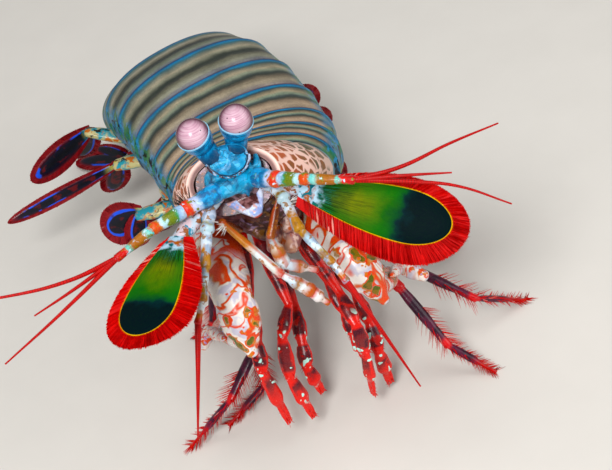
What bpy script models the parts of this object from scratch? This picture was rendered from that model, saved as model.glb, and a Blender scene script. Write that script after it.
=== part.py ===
"""A peacock mantis shrimp on its walking legs, life size: head raised toward -Y, tail on the floor."""

import math

import bmesh
import bpy
from mathutils import Matrix, Vector

# Every size below is in millimetres and every angle in degrees. +X is the animal's left.
MM = 0.001
GAP = 0.3

# The trunk's axis, from the head back: name, length, yaw, drop, and the half width,
# height over the axis and depth under it at the piece's rear end
AXIS_START = (0.5, 3.0, 55.0)
FRONT_SECTION = (6.6, 3.9, 6.0)
TRUNK = [
    ("thorax_front", 32.0, -18, 42, 13.2, 5.9, 8.6),
    ("thorax_6", 6.0, -18, 33, 15.6, 8.6, 8.2),
    ("thorax_7", 6.0, -13, 24, 16.8, 9.0, 8.0),
    ("thorax_8", 6.5, -6, 12, 17.6, 9.2, 8.0),
    ("abdomen_1", 9.5, 0, 2, 18.0, 9.3, 8.2),
    ("abdomen_2", 10.0, 4, 0, 18.2, 9.4, 8.2),
    ("abdomen_3", 10.0, 6, 3, 17.8, 9.2, 8.0),
    ("abdomen_4", 10.0, 8, 18, 17.0, 8.8, 7.6),
    ("abdomen_5", 10.0, 9, 36, 15.6, 8.0, 6.8),
    ("abdomen_6", 9.0, 9, 50, 13.4, 5.2, 4.6),
]
SECTION_SIDES = 20
ROUND_END_REACH = 0.6
ROUND_END_SCALE = 0.55
SMOOTH_ANGLE = 40
BACK_ROUNDNESS = 2.3
BELLY_ROUNDNESS = 2.9
PLATE_FLARE = 0.35
PLATE_STATIONS = [(0.3, 0.0), (0.65, 0.1)]

CARAPACE_LENGTH = 30.5
CARAPACE_THICKNESS = 1.3
CARAPACE_FRONT = (8.2, 5.5)
CARAPACE_REAR = (15.2, 7.8)
CARAPACE_DROOP = 24
CARAPACE_ROWS = 5
CARAPACE_STEPS = 12

# The head ahead of the trunk's axis: distance, half width, height over and depth under
HEAD_SECTIONS = [(0.35, 5.2, 3.6, 4.2), (2.2, 5.0, 4.4, 4.0), (4.4, 4.0, 4.2, 3.4), (5.6, 2.4, 2.6, 2.0)]
ROSTRAL_PLATE_RUN = (5.6, 0, 44)
ROSTRAL_PLATE_RISE = 5.6
ROSTRAL_PLATE_SETBACK = 1.0
ROSTRAL_PLATE_HALF_WIDTH = 3.4
ROSTRAL_PLATE_TAPER = 0.75
ROSTRAL_PLATE_THICKNESS = 0.9
ROSTRAL_PLATE_CAMBER = 0.6

# The mouth: a broad base under the head, and the two lobes that hang from it
MOUTH_BASE = ((3.8, 1.1, 48.4), (6.4, 10.6, 35.0))
MOUTH_BASE_RADII = [4.4, 5.8, 4.8]
MOUTH_BASE_FLATNESS = 0.55
MOUTH_BASE_ACROSS = (0.95, -0.31, 0)
MOUTH_LOBES = [
    ((5.0, 2.7, 42.6), (2.7, -0.4, 39.8), [1.2, 1.5, 1.2]),
    ((8.1, 2.5, 41.3), (5.7, -1.4, 39.1), [1.5, 1.9, 1.5]),
]

EYE_DIAMETER = 5.9
EYES = {"right": (-3.3, 4.6, 66.0), "left": (4.3, 3.4, 66.0)}
EYE_AXIS = Vector((0.0, 0.12, 0.99)).normalized()
STALK_BASES = {"right": (-1.3, 2.6, 60.2), "left": (2.3, 2.2, 60.2)}
EYE_SEGMENTS = 16
EYE_ROWS = 10
STALK_RADII = (1.5, 2.0, 2.75)
STALK_REACH = 1.2

LABRUM_ROOT = (1.3, 0.9, 53.0)
LABRUM_RUN = (4.9, 15, -60)
LABRUM_ACROSS = (1, -0.15, 0)
LABRUM_HALF_WIDTHS = (3.9, 0.7)
LABRUM_BULGE = 0.25
LABRUM_THICKNESS = 1.5
LABRUM_CAMBER = 0.8

SIDES = {"right": -1, "left": 1}

# A limb is its root and its segments: length, yaw (0 ahead, + to the animal's left), rise
ANTENNULES = {
    "right": ((-2.2, -0.2, 56.6), [(7.4, -80, 2), (6.7, -78, 2), (8.2, -70, -2)]),
    "left": ((3.4, -0.8, 56.6), [(5.5, 32, 12), (5.9, 42, 9), (8.4, 52, -2)]),
}
ANTENNULE_RADII = [2.0, 1.6, 1.25, 0.9]
WHIPS = {
    "right": [
        [(9.0, -85, 3), (11.1, -98, 7), (10.0, -106, 10)],
        [(8.5, -78, -5), (8.6, -78, -2)],
        [(12.6, -70, -9), (13.4, -71, -7)],
    ],
    "left": [
        [(8.3, 74, 1), (9.2, 84, 6), (8.6, 83, 3)],
        [(8.6, 64, -4), (8.0, 65, -7)],
        [(10.4, 62, -11), (7.1, 59, -14), (9.4, 51, -24)],
    ],
}
WHIP_RADIUS = 0.46
WHIP_TIP_RADIUS = 0.14
WHIP_ROOT_DEPTH = 0.2

# A blade is its root, its run and the direction across it
SCALES = {
    "right": ((-12.9, -3.4, 52.9), (28.0, -35, 3), (0.98, -0.19, -0.04)),
    "left": ((9.6, -5.2, 53.4), (30.0, 52, -19), (0.75, 0.33, 0.57)),
}
OUTER_EDGES = {"right": -1, "left": 1}
SCALE_HALF_WIDTH = 4.9
SCALE_ROOT_HALF_WIDTH = 1.3
SCALE_WIDEST = 0.62
SCALE_THICKNESS = 0.8
SCALE_CAMBER = 0.9
SCALE_TIP_FRINGE = 3.0
SCALE_TURN = 0.55
SCALE_BLUNTNESS = 1.01
OUTER_FRINGE = (0.3, 2.0)
INNER_FRINGE = (1.8, 3.6)

# Fringe vanes: how many stand round one edge, from which share of it, and their form
VANES_PER_EDGE = 16
VANE_FROM = 0.1
VANE_WIDTH = 1.25
VANE_THICKNESS = 0.5
VANE_ROOT_DEPTH = 0.8
VANE_WAIST = 0.6
VANE_WAIST_SCALE = 0.72
VANE_SWEEP = 0.03
VANE_TILT = 0.3
VANE_ROOT_LIFT = 0.2

# Bristles on the last segment of a limb
BRISTLE_WIDTH = 0.6
BRISTLE_SPREAD = (-25, 205)
BRISTLE_STEP = 0.618
BRISTLE_FROM = 0.12
BRISTLE_TO = 0.97
BRISTLE_LEAN = 0.8
BRISTLE_ROOT_SHARE = 0.35
LEG_BRISTLES = (6, 2.3)
MAXILLIPED_BRISTLES = (4, 1.7)

ANTENNAE = {
    "right": ((-5.6, -0.9, 54.2), [(4.0, -32, -16), (6.7, -32, -26), (5.8, -34, -30), (4.0, -45, -32)]),
    "left": ((6.0, -1.8, 54.2), [(3.6, 6, -16), (6.3, -1, -27), (8.1, 20, -33), (4.0, 18, -42)]),
}
ANTENNA_RADII = [1.5, 1.3, 1.1, 0.85, 0.7]
ANTENNA_WHIP_RADIUS = 0.6
ANTENNA_WHIPS = {
    "right": [(9.8, -38, -48), (9.9, -42, -53)],
    "left": [(9.0, 17, -50), (13.5, 24, -60)],
}

MERUS = {
    "right": ((-4.0, 17.5, 37.0), [(25.0, -9, 5)]),
    "left": ((14.4, 12.5, 37.0), [(23.0, -2, 7)]),
}
MERUS_RADII = [3.0, 4.1, 3.5]
MERUS_FLATNESS = 0.85
KNUCKLE = {"right": (10.4, -9, -58), "left": (10.2, 22, -54)}
KNUCKLE_RADII = [3.3, 3.6, 1.1]
KNUCKLE_FLATNESS = 0.9
FOLD_PLACE = 0.75
FOLD_FLATNESS = 0.8
FOLD = {"right": (18.8, -176, -30), "left": (16.8, 157, -36)}
CLUB_LEAN = {"right": (-46, -23), "left": (46, -23)}
FOLD_RADII = [2.0, 2.7, 2.3]
CLUB_RADIUS = 1.6
CLUB_LENGTH = 5.0
CLUB_SCALES = (0.8, 1.0, 0.7)
HEEL_DEPTH = 0.5
DACTYL_LENGTH = 13.0
DACTYL_RADII = [0.96, 1.2, 0.5]

FIRST_MAXILLIPEDS = {
    "right": ((-1.2, 3.6, 43.6), [(8.4, -38, 52), (13.6, 34, -43), (6.0, 55, -43), (3.9, 54, -51)]),
    "left": ((4.6, 3.4, 43.4), [(8.2, 25, 58), (7.1, -50, -42), (5.7, 12, -72), (6.1, 73, -32)]),
}
FIRST_MAXILLIPED_RADII = [0.9, 0.85, 1.0, 1.45, 0.8]

LOWER_MAXILLIPEDS = {
    ("3", "right"): ((3.0, 14.0, 33.0), [(14.9, -2, -38), (6.5, -42, -27), (7.8, -26, -66), (9.8, 30, -73)]),
    ("4", "right"): ((0.0, 11.0, 36.0), [(12.3, -31, -55), (8.1, -17, -22), (5.5, -24, -51), (12.8, 30, -78)]),
    ("5", "right"): ((5.0, 17.0, 29.0), [(14.8, -3, -50), (6.8, -19, -34), (4.7, -22, -51), (6.1, 26, -68)]),
    ("3", "left"): ((9.0, 11.0, 36.0), [(17.1, 12, -43), (6.6, 0, -34), (6.0, -7, -71), (10.5, -72, -84)]),
    ("4", "left"): ((8.0, 14.0, 33.0), [(19.1, 31, -44), (6.5, 2, -52), (5.6, -12, -52), (8.3, 46, -86)]),
    ("5", "left"): ((10.0, 17.0, 29.0), [(13.0, 16, -52), (6.8, 4, -40), (4.7, -2, -58), (5.4, 10, -70)]),
}
LOWER_MAXILLIPED_RADII = [1.5, 1.3, 1.5, 1.7, 0.5]

WALKING_LEGS = {
    ("1", "left"): ((16.0, 26.0, 25.5), [(27.0, 17, -20), (14.0, 22, -46), (10.4, 47, -37)]),
    ("2", "left"): ((17.0, 32.5, 22.5), [(28.6, 21, -13), (14.4, 51, -34), (13.8, 100, -37)]),
    ("3", "left"): ((17.5, 38.5, 20.5), [(18.8, 43, -16), (11.7, 58, -37), (11.4, 124, -48)]),
    ("1", "right"): ((1.2, 26.0, 26.0), [(24.6, -20, -31), (9.9, -62, -30), (13.2, -99, -39)]),
    ("2", "right"): ((1.6, 32.5, 23.0), [(22.4, -16, -28), (11.3, -17, -53), (10.4, -77, -20)]),
    ("3", "right"): ((1.6, 38.5, 21.0), [(15.2, -38, -35), (7.9, -56, -63), (8.2, -149, -41)]),
}
WALKING_LEG_RADII = [1.5, 1.25, 1.0, 0.45]

# A pleopod is its root, its stalk and its two lobes, each a run and the direction across it
HANGING_STALK = (4.5, 180, -70)
PLEOPODS = {
    ("1", "right"): ((-5.5, 49.0, 19.0), (7.0, -105, 0), [(9.5, -95, -4, 5.0), (8.0, -60, -60, 3.2)]),
    ("2", "right"): ((-5.0, 57.0, 18.0), HANGING_STALK, [(12.5, -172, -62, 4.6), (11.0, -120, -66, 3.6)]),
    ("3", "right"): ((-5.0, 68.0, 18.5), (6.5, -115, -4), [(27.0, -86, -2, 2.0), (11.0, -140, -64, 3.6)]),
    ("4", "right"): ((-6.0, 78.0, 18.0), (8.5, -118, 20), [(19.0, -60, 3, 3.6), (11.0, -140, -60, 3.6)]),
    ("5", "right"): ((-2.0, 84.0, 12.0), HANGING_STALK, [(10.0, -172, -34, 4.0), (9.0, -130, -40, 3.2)]),
    ("1", "left"): ((26.0, 47.0, 18.5), HANGING_STALK, [(12.5, 172, -62, 4.6), (11.0, 120, -66, 3.6)]),
    ("2", "left"): ((26.5, 58.5, 18.5), (2.5, 110, 20), [(7.0, 150, 34, 3.2), (11.0, 130, -62, 3.6)]),
    ("3", "left"): ((25.0, 67.0, 18.0), HANGING_STALK, [(12.5, 172, -60, 4.6), (11.0, 120, -64, 3.6)]),
    ("4", "left"): ((22.0, 76.0, 16.0), HANGING_STALK, [(11.5, 172, -56, 4.6), (10.0, 130, -60, 3.6)]),
    ("5", "left"): ((18.0, 84.0, 12.0), HANGING_STALK, [(10.0, 172, -34, 4.0), (9.0, 130, -40, 3.2)]),
}
PLEOPOD_STALK_RADII = [1.8, 1.9, 1.6]
STALK_FLATNESS = 0.6
LOBE_THICKNESS = 0.8
LOBE_CAMBER = 0.4
LOBE_ROWS = (5, 4)
LOBE_ROOT_DEPTH = 1.0
LEVEL_RISE = 20
LEAF_WIDEST = 0.55
LEAF_ROOT_SHARE = 0.35
LEAF_BLUNTNESS = 1.02

TELSON_RUN = (21.0, 8, 28)
# Along the telson: share, half width, height over and depth under
TELSON_SECTIONS = [
    (0.02, 12.4, 4.6, 3.6),
    (0.3, 11.5, 3.6, 2.0),
    (0.7, 10.4, 2.4, 1.4),
    (0.94, 8.2, 1.4, 0.9),
    (1.0, 6.6, 0.7, 0.6),
]
UROPOD_PLACE = (9.5, 5.6, 0.5)
UROPOD_STALK = (6.0, 34, 18)
UROPOD_STALK_RADII = [2.2, 2.6, 2.2]
# Each uropod lobe: turn outward, length, half width
UROPOD_LOBES = [(46, 15.0, 3.6), (20, 13.0, 2.7)]
UROPOD_LOBE_DROP = -6
UROPOD_ROOT_DEPTH = 1.5
UROPOD_THICKNESS = 0.9
UROPOD_CAMBER = 0.3

COLOURS = {
    "carapace": (0.42, 0.17, 0.07),
    "tergite": (0.12, 0.20, 0.14),
    "thorax": (0.16, 0.05, 0.04),
    "face": (0.03, 0.28, 0.42),
    "cornea": (0.62, 0.30, 0.38),
    "labrum": (0.72, 0.74, 0.80),
    "scale": (0.10, 0.24, 0.03),
    "red": (0.55, 0.03, 0.02),
    "claw": (0.72, 0.62, 0.50),
    "leg": (0.14, 0.02, 0.05),
    "pleopod": (0.03, 0.05, 0.22),
}


def clearScene():
    for obj in list(bpy.data.objects):
        bpy.data.objects.remove(obj)
    for collection in list(bpy.data.collections):
        bpy.data.collections.remove(collection)


clearScene()
model = bpy.data.collections.new("mantis_shrimp")
bpy.context.scene.collection.children.link(model)
materials = {}
nodes = []


def materialNamed(slot):
    if slot not in materials:
        material = bpy.data.materials.new(slot)
        material.use_nodes = True
        shader = material.node_tree.nodes["Principled BSDF"]
        shader.inputs["Base Color"].default_value = (*COLOURS[slot], 1)
        shader.inputs["Roughness"].default_value = 0.35
        shader.inputs["Metallic"].default_value = 0.0
        materials[slot] = material
    return materials[slot]


def meshObject(name, vertices, faces):
    """An object in the model's collection from points in millimetres."""
    mesh = bpy.data.meshes.new(name)
    mesh.from_pydata([Vector(v) * MM for v in vertices], [], faces)
    shell = bmesh.new()
    shell.from_mesh(mesh)
    bmesh.ops.recalc_face_normals(shell, faces=shell.faces)
    shell.to_mesh(mesh)
    shell.free()
    obj = bpy.data.objects.new(name, mesh)
    model.objects.link(obj)
    return obj


def heading(yaw, rise):
    """The unit direction that a limb's segment takes."""
    y, r = math.radians(yaw), math.radians(rise)
    return Vector((math.sin(y) * math.cos(r), -math.cos(y) * math.cos(r), math.sin(r)))


def joints(root, segments):
    points = [Vector(root)]
    for length, yaw, rise in segments:
        points.append(points[-1] + heading(yaw, rise) * length)
    return points


def loft(name, rings):
    """A closed body through rings of as many points each, with a cap on either end."""
    count = len(rings[0])
    vertices = [point for ring in rings for point in ring]
    faces = []
    for row in range(len(rings) - 1):
        for k in range(count):
            a = row * count + k
            b = row * count + (k + 1) % count
            faces += [(a, b, b + count), (a, b + count, a + count)]
    faces.append(tuple(range(count)))
    faces.append(tuple(range(len(vertices) - count, len(vertices))))
    return meshObject(name, vertices, faces)


def roundPiece(name, start, end, radii, flat=1.0, sides=8, across=None):
    """A limb's segment: round ends, its radius running through the given values."""
    along = (end - start).normalized()
    side = Vector(across) if across else along.cross(Vector((0, 0, 1)))
    if side.length < 0.1:
        side = Vector((1, 0, 0))
    side = (side - along * side.dot(along)).normalized()
    up = side.cross(along)
    length = (end - start).length
    first, last = radii[0], radii[-1]
    stations = [(-ROUND_END_REACH * first, ROUND_END_SCALE * first)]
    for k, radius in enumerate(radii):
        stations.append((length * k / (len(radii) - 1), radius))
    stations.append((length + ROUND_END_REACH * last, ROUND_END_SCALE * last))
    rings = []
    for distance, radius in stations:
        centre = start + along * distance
        ring = []
        for k in range(sides):
            a = 2 * math.pi * k / sides
            ring.append(centre + side * radius * math.cos(a) + up * radius * flat * math.sin(a))
        rings.append(ring)
    return loft(name, rings)


def whip(name, root, segments, radius, tip, sides=6):
    """A feeler that bends smoothly through its segments and tapers to its tip."""
    points = joints(root, segments)
    curve = bpy.data.curves.new(name, "CURVE")
    curve.dimensions = "3D"
    curve.bevel_depth = MM
    curve.bevel_resolution = 1
    curve.resolution_u = 3
    curve.use_fill_caps = True
    spline = curve.splines.new("BEZIER")
    spline.bezier_points.add(len(points) - 1)
    for k, point in enumerate(spline.bezier_points):
        share = k / (len(points) - 1)
        point.co = points[k] * MM
        point.handle_left_type = "AUTO"
        point.handle_right_type = "AUTO"
        point.radius = radius + (tip - radius) * share
    obj = bpy.data.objects.new(name, curve)
    model.objects.link(obj)
    return curveToMesh(obj)


def curveToMesh(obj):
    """The curve's object as a closed mesh, with its caps welded."""
    bpy.context.view_layer.update()
    graph = bpy.context.evaluated_depsgraph_get()
    mesh = bpy.data.meshes.new_from_object(obj.evaluated_get(graph))
    shell = bmesh.new()
    shell.from_mesh(mesh)
    bmesh.ops.remove_doubles(shell, verts=shell.verts, dist=1e-6)
    bmesh.ops.recalc_face_normals(shell, faces=shell.faces)
    shell.to_mesh(mesh)
    shell.free()
    name = obj.name
    solid = bpy.data.objects.new(name + "_solid", mesh)
    solid.matrix_world = obj.matrix_world
    model.objects.link(solid)
    bpy.data.objects.remove(obj)
    solid.name = name
    return solid


def blade(name, root, run, across, halfWidth, thickness, camber=0.0, rows=6, columns=2):
    """A thin leaf: its outline follows halfWidth(t, edge) along its run, alike on both faces."""
    length, yaw, rise = run
    along = heading(yaw, rise)
    side = Vector(across)
    side = (side - along * side.dot(along)).normalized()
    face = along.cross(side)
    start = Vector(root)
    vertices = []
    for layer in (-1, 1):
        for row in range(rows + 1):
            t = row / rows
            for column in range(columns + 1):
                u = 2 * column / columns - 1
                edge = 1 - 0.35 * max(abs(u), 2 * abs(t - 0.5)) ** 4
                lift = camber * (1 - u * u) + layer * thickness / 2 * edge
                reach = halfWidth(t, math.copysign(1, u)) * u
                vertices.append(start + along * length * t + side * reach + face * lift)
    faces = []
    layerSize = (rows + 1) * (columns + 1)
    for layer in (0, 1):
        for row in range(rows):
            for column in range(columns):
                a = layer * layerSize + row * (columns + 1) + column
                b, c = a + 1, a + columns + 1
                faces += [(a, b, c + 1), (a, c + 1, c)]
    border = list(range(columns + 1))
    border += [row * (columns + 1) + columns for row in range(1, rows + 1)]
    border += [rows * (columns + 1) + k for k in range(columns - 1, -1, -1)]
    border += [row * (columns + 1) for row in range(rows - 1, 0, -1)]
    for k, a in enumerate(border):
        b = border[(k + 1) % len(border)]
        faces += [(a, b, b + layerSize), (a, b + layerSize, a + layerSize)]
    return meshObject(name, vertices, faces)


def evaluatedMesh(obj):
    bpy.context.view_layer.update()
    graph = bpy.context.evaluated_depsgraph_get()
    return bpy.data.meshes.new_from_object(obj.evaluated_get(graph))


def keepLargest(obj):
    """Leaves only the largest closed surface of the object's mesh."""
    shell = bmesh.new()
    shell.from_mesh(obj.data)
    left = set(shell.verts)
    groups = []
    while left:
        stack = [left.pop()]
        group = set(stack)
        while stack:
            for edge in stack.pop().link_edges:
                for vertex in edge.verts:
                    if vertex in left:
                        left.remove(vertex)
                        group.add(vertex)
                        stack.append(vertex)
        groups.append(group)
    groups.sort(key=lambda group: -spread(group))
    for group in groups[1:]:
        bmesh.ops.delete(shell, geom=list(group), context="VERTS")
    shell.to_mesh(obj.data)
    shell.free()


def spread(group):
    """The diagonal of the box round a group of vertices."""
    low = Vector([min(v.co[k] for v in group) for k in range(3)])
    high = Vector([max(v.co[k] for v in group) for k in range(3)])
    return (high - low).length


def applyBoolean(obj, others, operation):
    """One Boolean of the object with a collection of closed meshes, which are then removed."""
    helpers = bpy.data.collections.new("helpers")
    bpy.context.scene.collection.children.link(helpers)
    for other in others:
        for collection in list(other.users_collection):
            collection.objects.unlink(other)
        helpers.objects.link(other)
    modifier = obj.modifiers.new("boolean", "BOOLEAN")
    modifier.operation = operation
    modifier.operand_type = "COLLECTION"
    modifier.collection = helpers
    modifier.solver = "MANIFOLD"
    obj.data = evaluatedMesh(obj)
    obj.modifiers.remove(modifier)
    for other in others:
        bpy.data.objects.remove(other)
    bpy.data.collections.remove(helpers)
    keepLargest(obj)


def fuse(name, pieces):
    """The pieces as one closed body."""
    body = pieces[0]
    if len(pieces) > 1:
        applyBoolean(body, pieces[1:], "UNION")
    body.name = name
    return body


def boxOf(obj):
    corners = [vertex.co for vertex in obj.data.vertices]
    low = Vector([min(c[k] for c in corners) for k in range(3)])
    high = Vector([max(c[k] for c in corners) for k in range(3)])
    return low, high


def near(a, b, margin=2 * GAP * MM):
    lowA, highA = boxOf(a)
    lowB, highB = boxOf(b)
    return all(lowA[k] - margin < highB[k] and lowB[k] - margin < highA[k] for k in range(3))


def grown(obj, by):
    """A copy of the object whose surface lies out by a given distance."""
    copy = bpy.data.objects.new("cutter", obj.data.copy())
    model.objects.link(copy)
    shell = bmesh.new()
    shell.from_mesh(copy.data)
    shell.normal_update()
    moves = []
    for vertex in shell.verts:
        lean = min((face.normal.dot(vertex.normal) for face in vertex.link_faces), default=1)
        moves.append((vertex, vertex.normal * by * MM / max(lean, 0.5)))
    for vertex, move in moves:
        vertex.co += move
    shell.to_mesh(copy.data)
    shell.free()
    return copy


def floorCutter():
    """A slab under the floor, which leaves small flats on what presses into it."""
    width, depth = 400, 20
    corners = [(x, y, z) for x in (-width, width) for y in (-width, width) for z in (-depth, 0)]
    faces = [(0, 1, 3, 2), (4, 6, 7, 5), (0, 4, 5, 1), (2, 3, 7, 6), (0, 2, 6, 4), (1, 5, 7, 3)]
    return meshObject("floor", corners, faces)


def finish(obj, slot):
    """Clears the body of the nodes before it by the gap, flattens it at the floor, and adds it."""
    for other in nodes:
        if near(obj, other):
            applyBoolean(obj, [grown(other, GAP)], "DIFFERENCE")
    if boxOf(obj)[0].z < 0:
        applyBoolean(obj, [floorCutter()], "DIFFERENCE")
    obj.data.materials.clear()
    obj.data.materials.append(materialNamed(slot))
    obj.data.shade_smooth()
    obj.data.set_sharp_from_angle(angle=math.radians(SMOOTH_ANGLE))
    nodes.append(obj)
    return obj


def trunkStations():
    """The trunk's cross-section frames from the head back; each joint's plane halves the bend."""
    point = Vector(AXIS_START)
    runs = []
    for _, length, yaw, drop, *_ in TRUNK:
        runs.append((length, -heading(yaw, drop), yaw))
    stations = []
    sections = [FRONT_SECTION] + [piece[4:] for piece in TRUNK]
    for k in range(len(TRUNK) + 1):
        before, after = runs[max(k - 1, 0)], runs[min(k, len(runs) - 1)]
        along = (before[1] + after[1]).normalized()
        yaw = math.radians((before[2] + after[2]) / 2)
        lateral = Vector((math.cos(yaw), math.sin(yaw), 0))
        stations.append((point.copy(), lateral, lateral.cross(along).normalized(), along, sections[k]))
        if k < len(runs):
            point += runs[k][1] * runs[k][0]
    return stations


def sectionRing(centre, lateral, normal, size):
    """A trunk section: a round back over a flatter belly."""
    half, over, under = size
    ring = []
    for k in range(SECTION_SIDES):
        a = 2 * math.pi * k / SECTION_SIDES
        c, s = math.cos(a), math.sin(a)
        power = 2 / (BACK_ROUNDNESS if s > 0 else BELLY_ROUNDNESS)
        x = math.copysign(abs(c) ** power, c) * half
        y = math.copysign(abs(s) ** power, s) * (over if s > 0 else under)
        ring.append(centre + lateral * x + normal * y)
    return ring


def blend(a, b, share):
    return a + (b - a) * share


def trunkPieces():
    stations = trunkStations()
    for k, piece in enumerate(TRUNK):
        front, rear = stations[k], stations[k + 1]
        inset = GAP / 2 / piece[1]
        rings = []
        for share, flare in [(inset, -PLATE_FLARE), *PLATE_STATIONS, (1 - inset, PLATE_FLARE)]:
            along = front[3] * (1 - share) + rear[3] * share
            centre = blend(front[0], rear[0], share)
            lateral = blend(front[1], rear[1], share).normalized()
            normal = lateral.cross(along).normalized()
            size = [blend(a, b, share) + flare for a, b in zip(front[4], rear[4])]
            rings.append(sectionRing(centre, lateral, normal, size))
        if k == 0:
            finish(fuse(piece[0], [loft("piece", rings), *mouthPieces()]), "thorax")
        else:
            finish(loft(piece[0], rings), "tergite")


def mouthPieces():
    ends = [Vector(point) for point in MOUTH_BASE]
    pieces = [roundPiece("piece", *ends, MOUTH_BASE_RADII, MOUTH_BASE_FLATNESS, 10, MOUTH_BASE_ACROSS)]
    for start, end, radii in MOUTH_LOBES:
        pieces.append(roundPiece("piece", Vector(start), Vector(end), radii, sides=6))
    return pieces


def carapace():
    """The shield over the head and front thorax: an arched shell wider toward its rear."""
    front, rear = trunkStations()[:2]
    share = CARAPACE_LENGTH / TRUNK[0][1]
    rings = []
    for row in range(CARAPACE_ROWS + 1):
        t = row / CARAPACE_ROWS
        centre = blend(front[0], rear[0], t * share)
        lateral = front[1]
        normal = front[2]
        half = blend(CARAPACE_FRONT[0], CARAPACE_REAR[0], math.sin(t * math.pi / 2))
        over = blend(CARAPACE_FRONT[1], CARAPACE_REAR[1], math.sin(t * math.pi / 2))
        ring = []
        for layer in (0, CARAPACE_THICKNESS):
            for k in range(CARAPACE_STEPS + 1):
                a = math.radians(-CARAPACE_DROOP + (180 + 2 * CARAPACE_DROOP) * k / CARAPACE_STEPS)
                a = math.pi - a if layer else a
                reach = lateral * (half - layer) * math.cos(a)
                ring.append(centre + reach + normal * (over - layer) * math.sin(a))
        rings.append(ring)
    return finish(loft("carapace", rings), "carapace")


def headPieces():
    """The head in front of the shield, its rostral plate and its upper lip."""
    axis = Vector(AXIS_START)
    ahead = -trunkStations()[0][3]
    up = trunkStations()[0][2]
    side = trunkStations()[0][1]
    rings = [sectionRing(axis + ahead * distance, side, up, size) for distance, *size in HEAD_SECTIONS]
    finish(loft("head", rings), "face")

    def outline(t, edge):
        return ROSTRAL_PLATE_HALF_WIDTH * (1 - ROSTRAL_PLATE_TAPER * t * t)

    root = axis + up * ROSTRAL_PLATE_RISE - ahead * ROSTRAL_PLATE_SETBACK
    form = (ROSTRAL_PLATE_THICKNESS, ROSTRAL_PLATE_CAMBER, 5, 4)
    finish(blade("rostral_plate", root, ROSTRAL_PLATE_RUN, side, outline, *form), "face")


def eyes():
    for side in SIDES:
        centre = Vector(EYES[side])
        bpy.ops.mesh.primitive_uv_sphere_add(
            segments=EYE_SEGMENTS, ring_count=EYE_ROWS, radius=EYE_DIAMETER / 2 * MM
        )
        cornea = bpy.context.object
        cornea.name = "cornea_" + side
        for collection in list(cornea.users_collection):
            collection.objects.unlink(cornea)
        model.objects.link(cornea)
        cornea.data.transform(Matrix.Translation(centre * MM))
        finish(cornea, "cornea")
        base = Vector(STALK_BASES[side])
        top = centre - EYE_AXIS * STALK_REACH
        finish(roundPiece("eyestalk_" + side, base, top, STALK_RADII, sides=12), "face")


def labrum():
    """The upper lip: a broad V that points down from under the head."""

    def outline(t, edge):
        return blend(*LABRUM_HALF_WIDTHS, t) + LABRUM_BULGE * math.sin(math.pi * t)

    form = (LABRUM_THICKNESS, LABRUM_CAMBER, 3, 4)
    finish(blade("labrum", LABRUM_ROOT, LABRUM_RUN, LABRUM_ACROSS, outline, *form), "labrum")


def antennules():
    for side in SIDES:
        root, segments = ANTENNULES[side]
        points = joints(root, segments)
        pieces = []
        for k in range(len(segments)):
            a, b = ANTENNULE_RADII[k], ANTENNULE_RADII[k + 1]
            pieces.append(roundPiece("piece", points[k], points[k + 1], [a * 0.85, a, b * 1.05], 1, 8))
        finish(fuse("antennule_" + side, pieces), "face")
        lashes = []
        tip = points[-1] - heading(*segments[-1][1:]) * WHIP_ROOT_DEPTH
        for run in WHIPS[side]:
            lashes.append(whip("lash", tip, run, WHIP_RADIUS, WHIP_TIP_RADIUS))
        finish(fuse("antennule_flagella_" + side, lashes), "red")


def vane(root, tip, across, width):
    """A flat blade of a fringe, or a bristle, that tapers to a point."""
    along = (tip - root).normalized()
    side = Vector(across)
    side = (side - along * side.dot(along)).normalized()
    face = along.cross(side)
    vertices = []
    for share, scale in ((0, 1), (VANE_WAIST, VANE_WAIST_SCALE)):
        centre = blend(root, tip, share)
        for x, y in ((-1, -1), (1, -1), (1, 1), (-1, 1)):
            vertices.append(centre + side * x * width / 2 * scale + face * y * VANE_THICKNESS / 2)
    vertices.append(tip)
    faces = [(0, 1, 2, 3), (0, 1, 5, 4), (1, 2, 6, 5), (2, 3, 7, 6), (3, 0, 4, 7)]
    faces += [(4, 5, 8), (5, 6, 8), (6, 7, 8), (7, 4, 8)]
    return meshObject("vane", vertices, faces)


def scaleEdge(q, fringes, end):
    """The antennal scale's outline at q of the way round one edge: share of its length, half width."""
    half = SCALE_HALF_WIDTH + fringes[1]
    root = SCALE_ROOT_HALF_WIDTH + fringes[0]
    if q < SCALE_TURN:
        return SCALE_WIDEST * q / SCALE_TURN, blend(root, half, math.sin(q / SCALE_TURN * math.pi / 2))
    a = (q - SCALE_TURN) / (1 - SCALE_TURN) * math.pi / 2
    return SCALE_WIDEST + (end - SCALE_WIDEST) * math.sin(a), half * math.cos(a)


def scaleHalfWidth(t, end):
    """The stiff blade's half width at a share of the scale's whole length."""
    if t < SCALE_WIDEST:
        return blend(SCALE_ROOT_HALF_WIDTH, SCALE_HALF_WIDTH, math.sin(t / SCALE_WIDEST * math.pi / 2))
    closing = (t - SCALE_WIDEST) / (end * SCALE_BLUNTNESS - SCALE_WIDEST)
    return SCALE_HALF_WIDTH * math.sqrt(max(1 - closing**2, 0.0))


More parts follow.
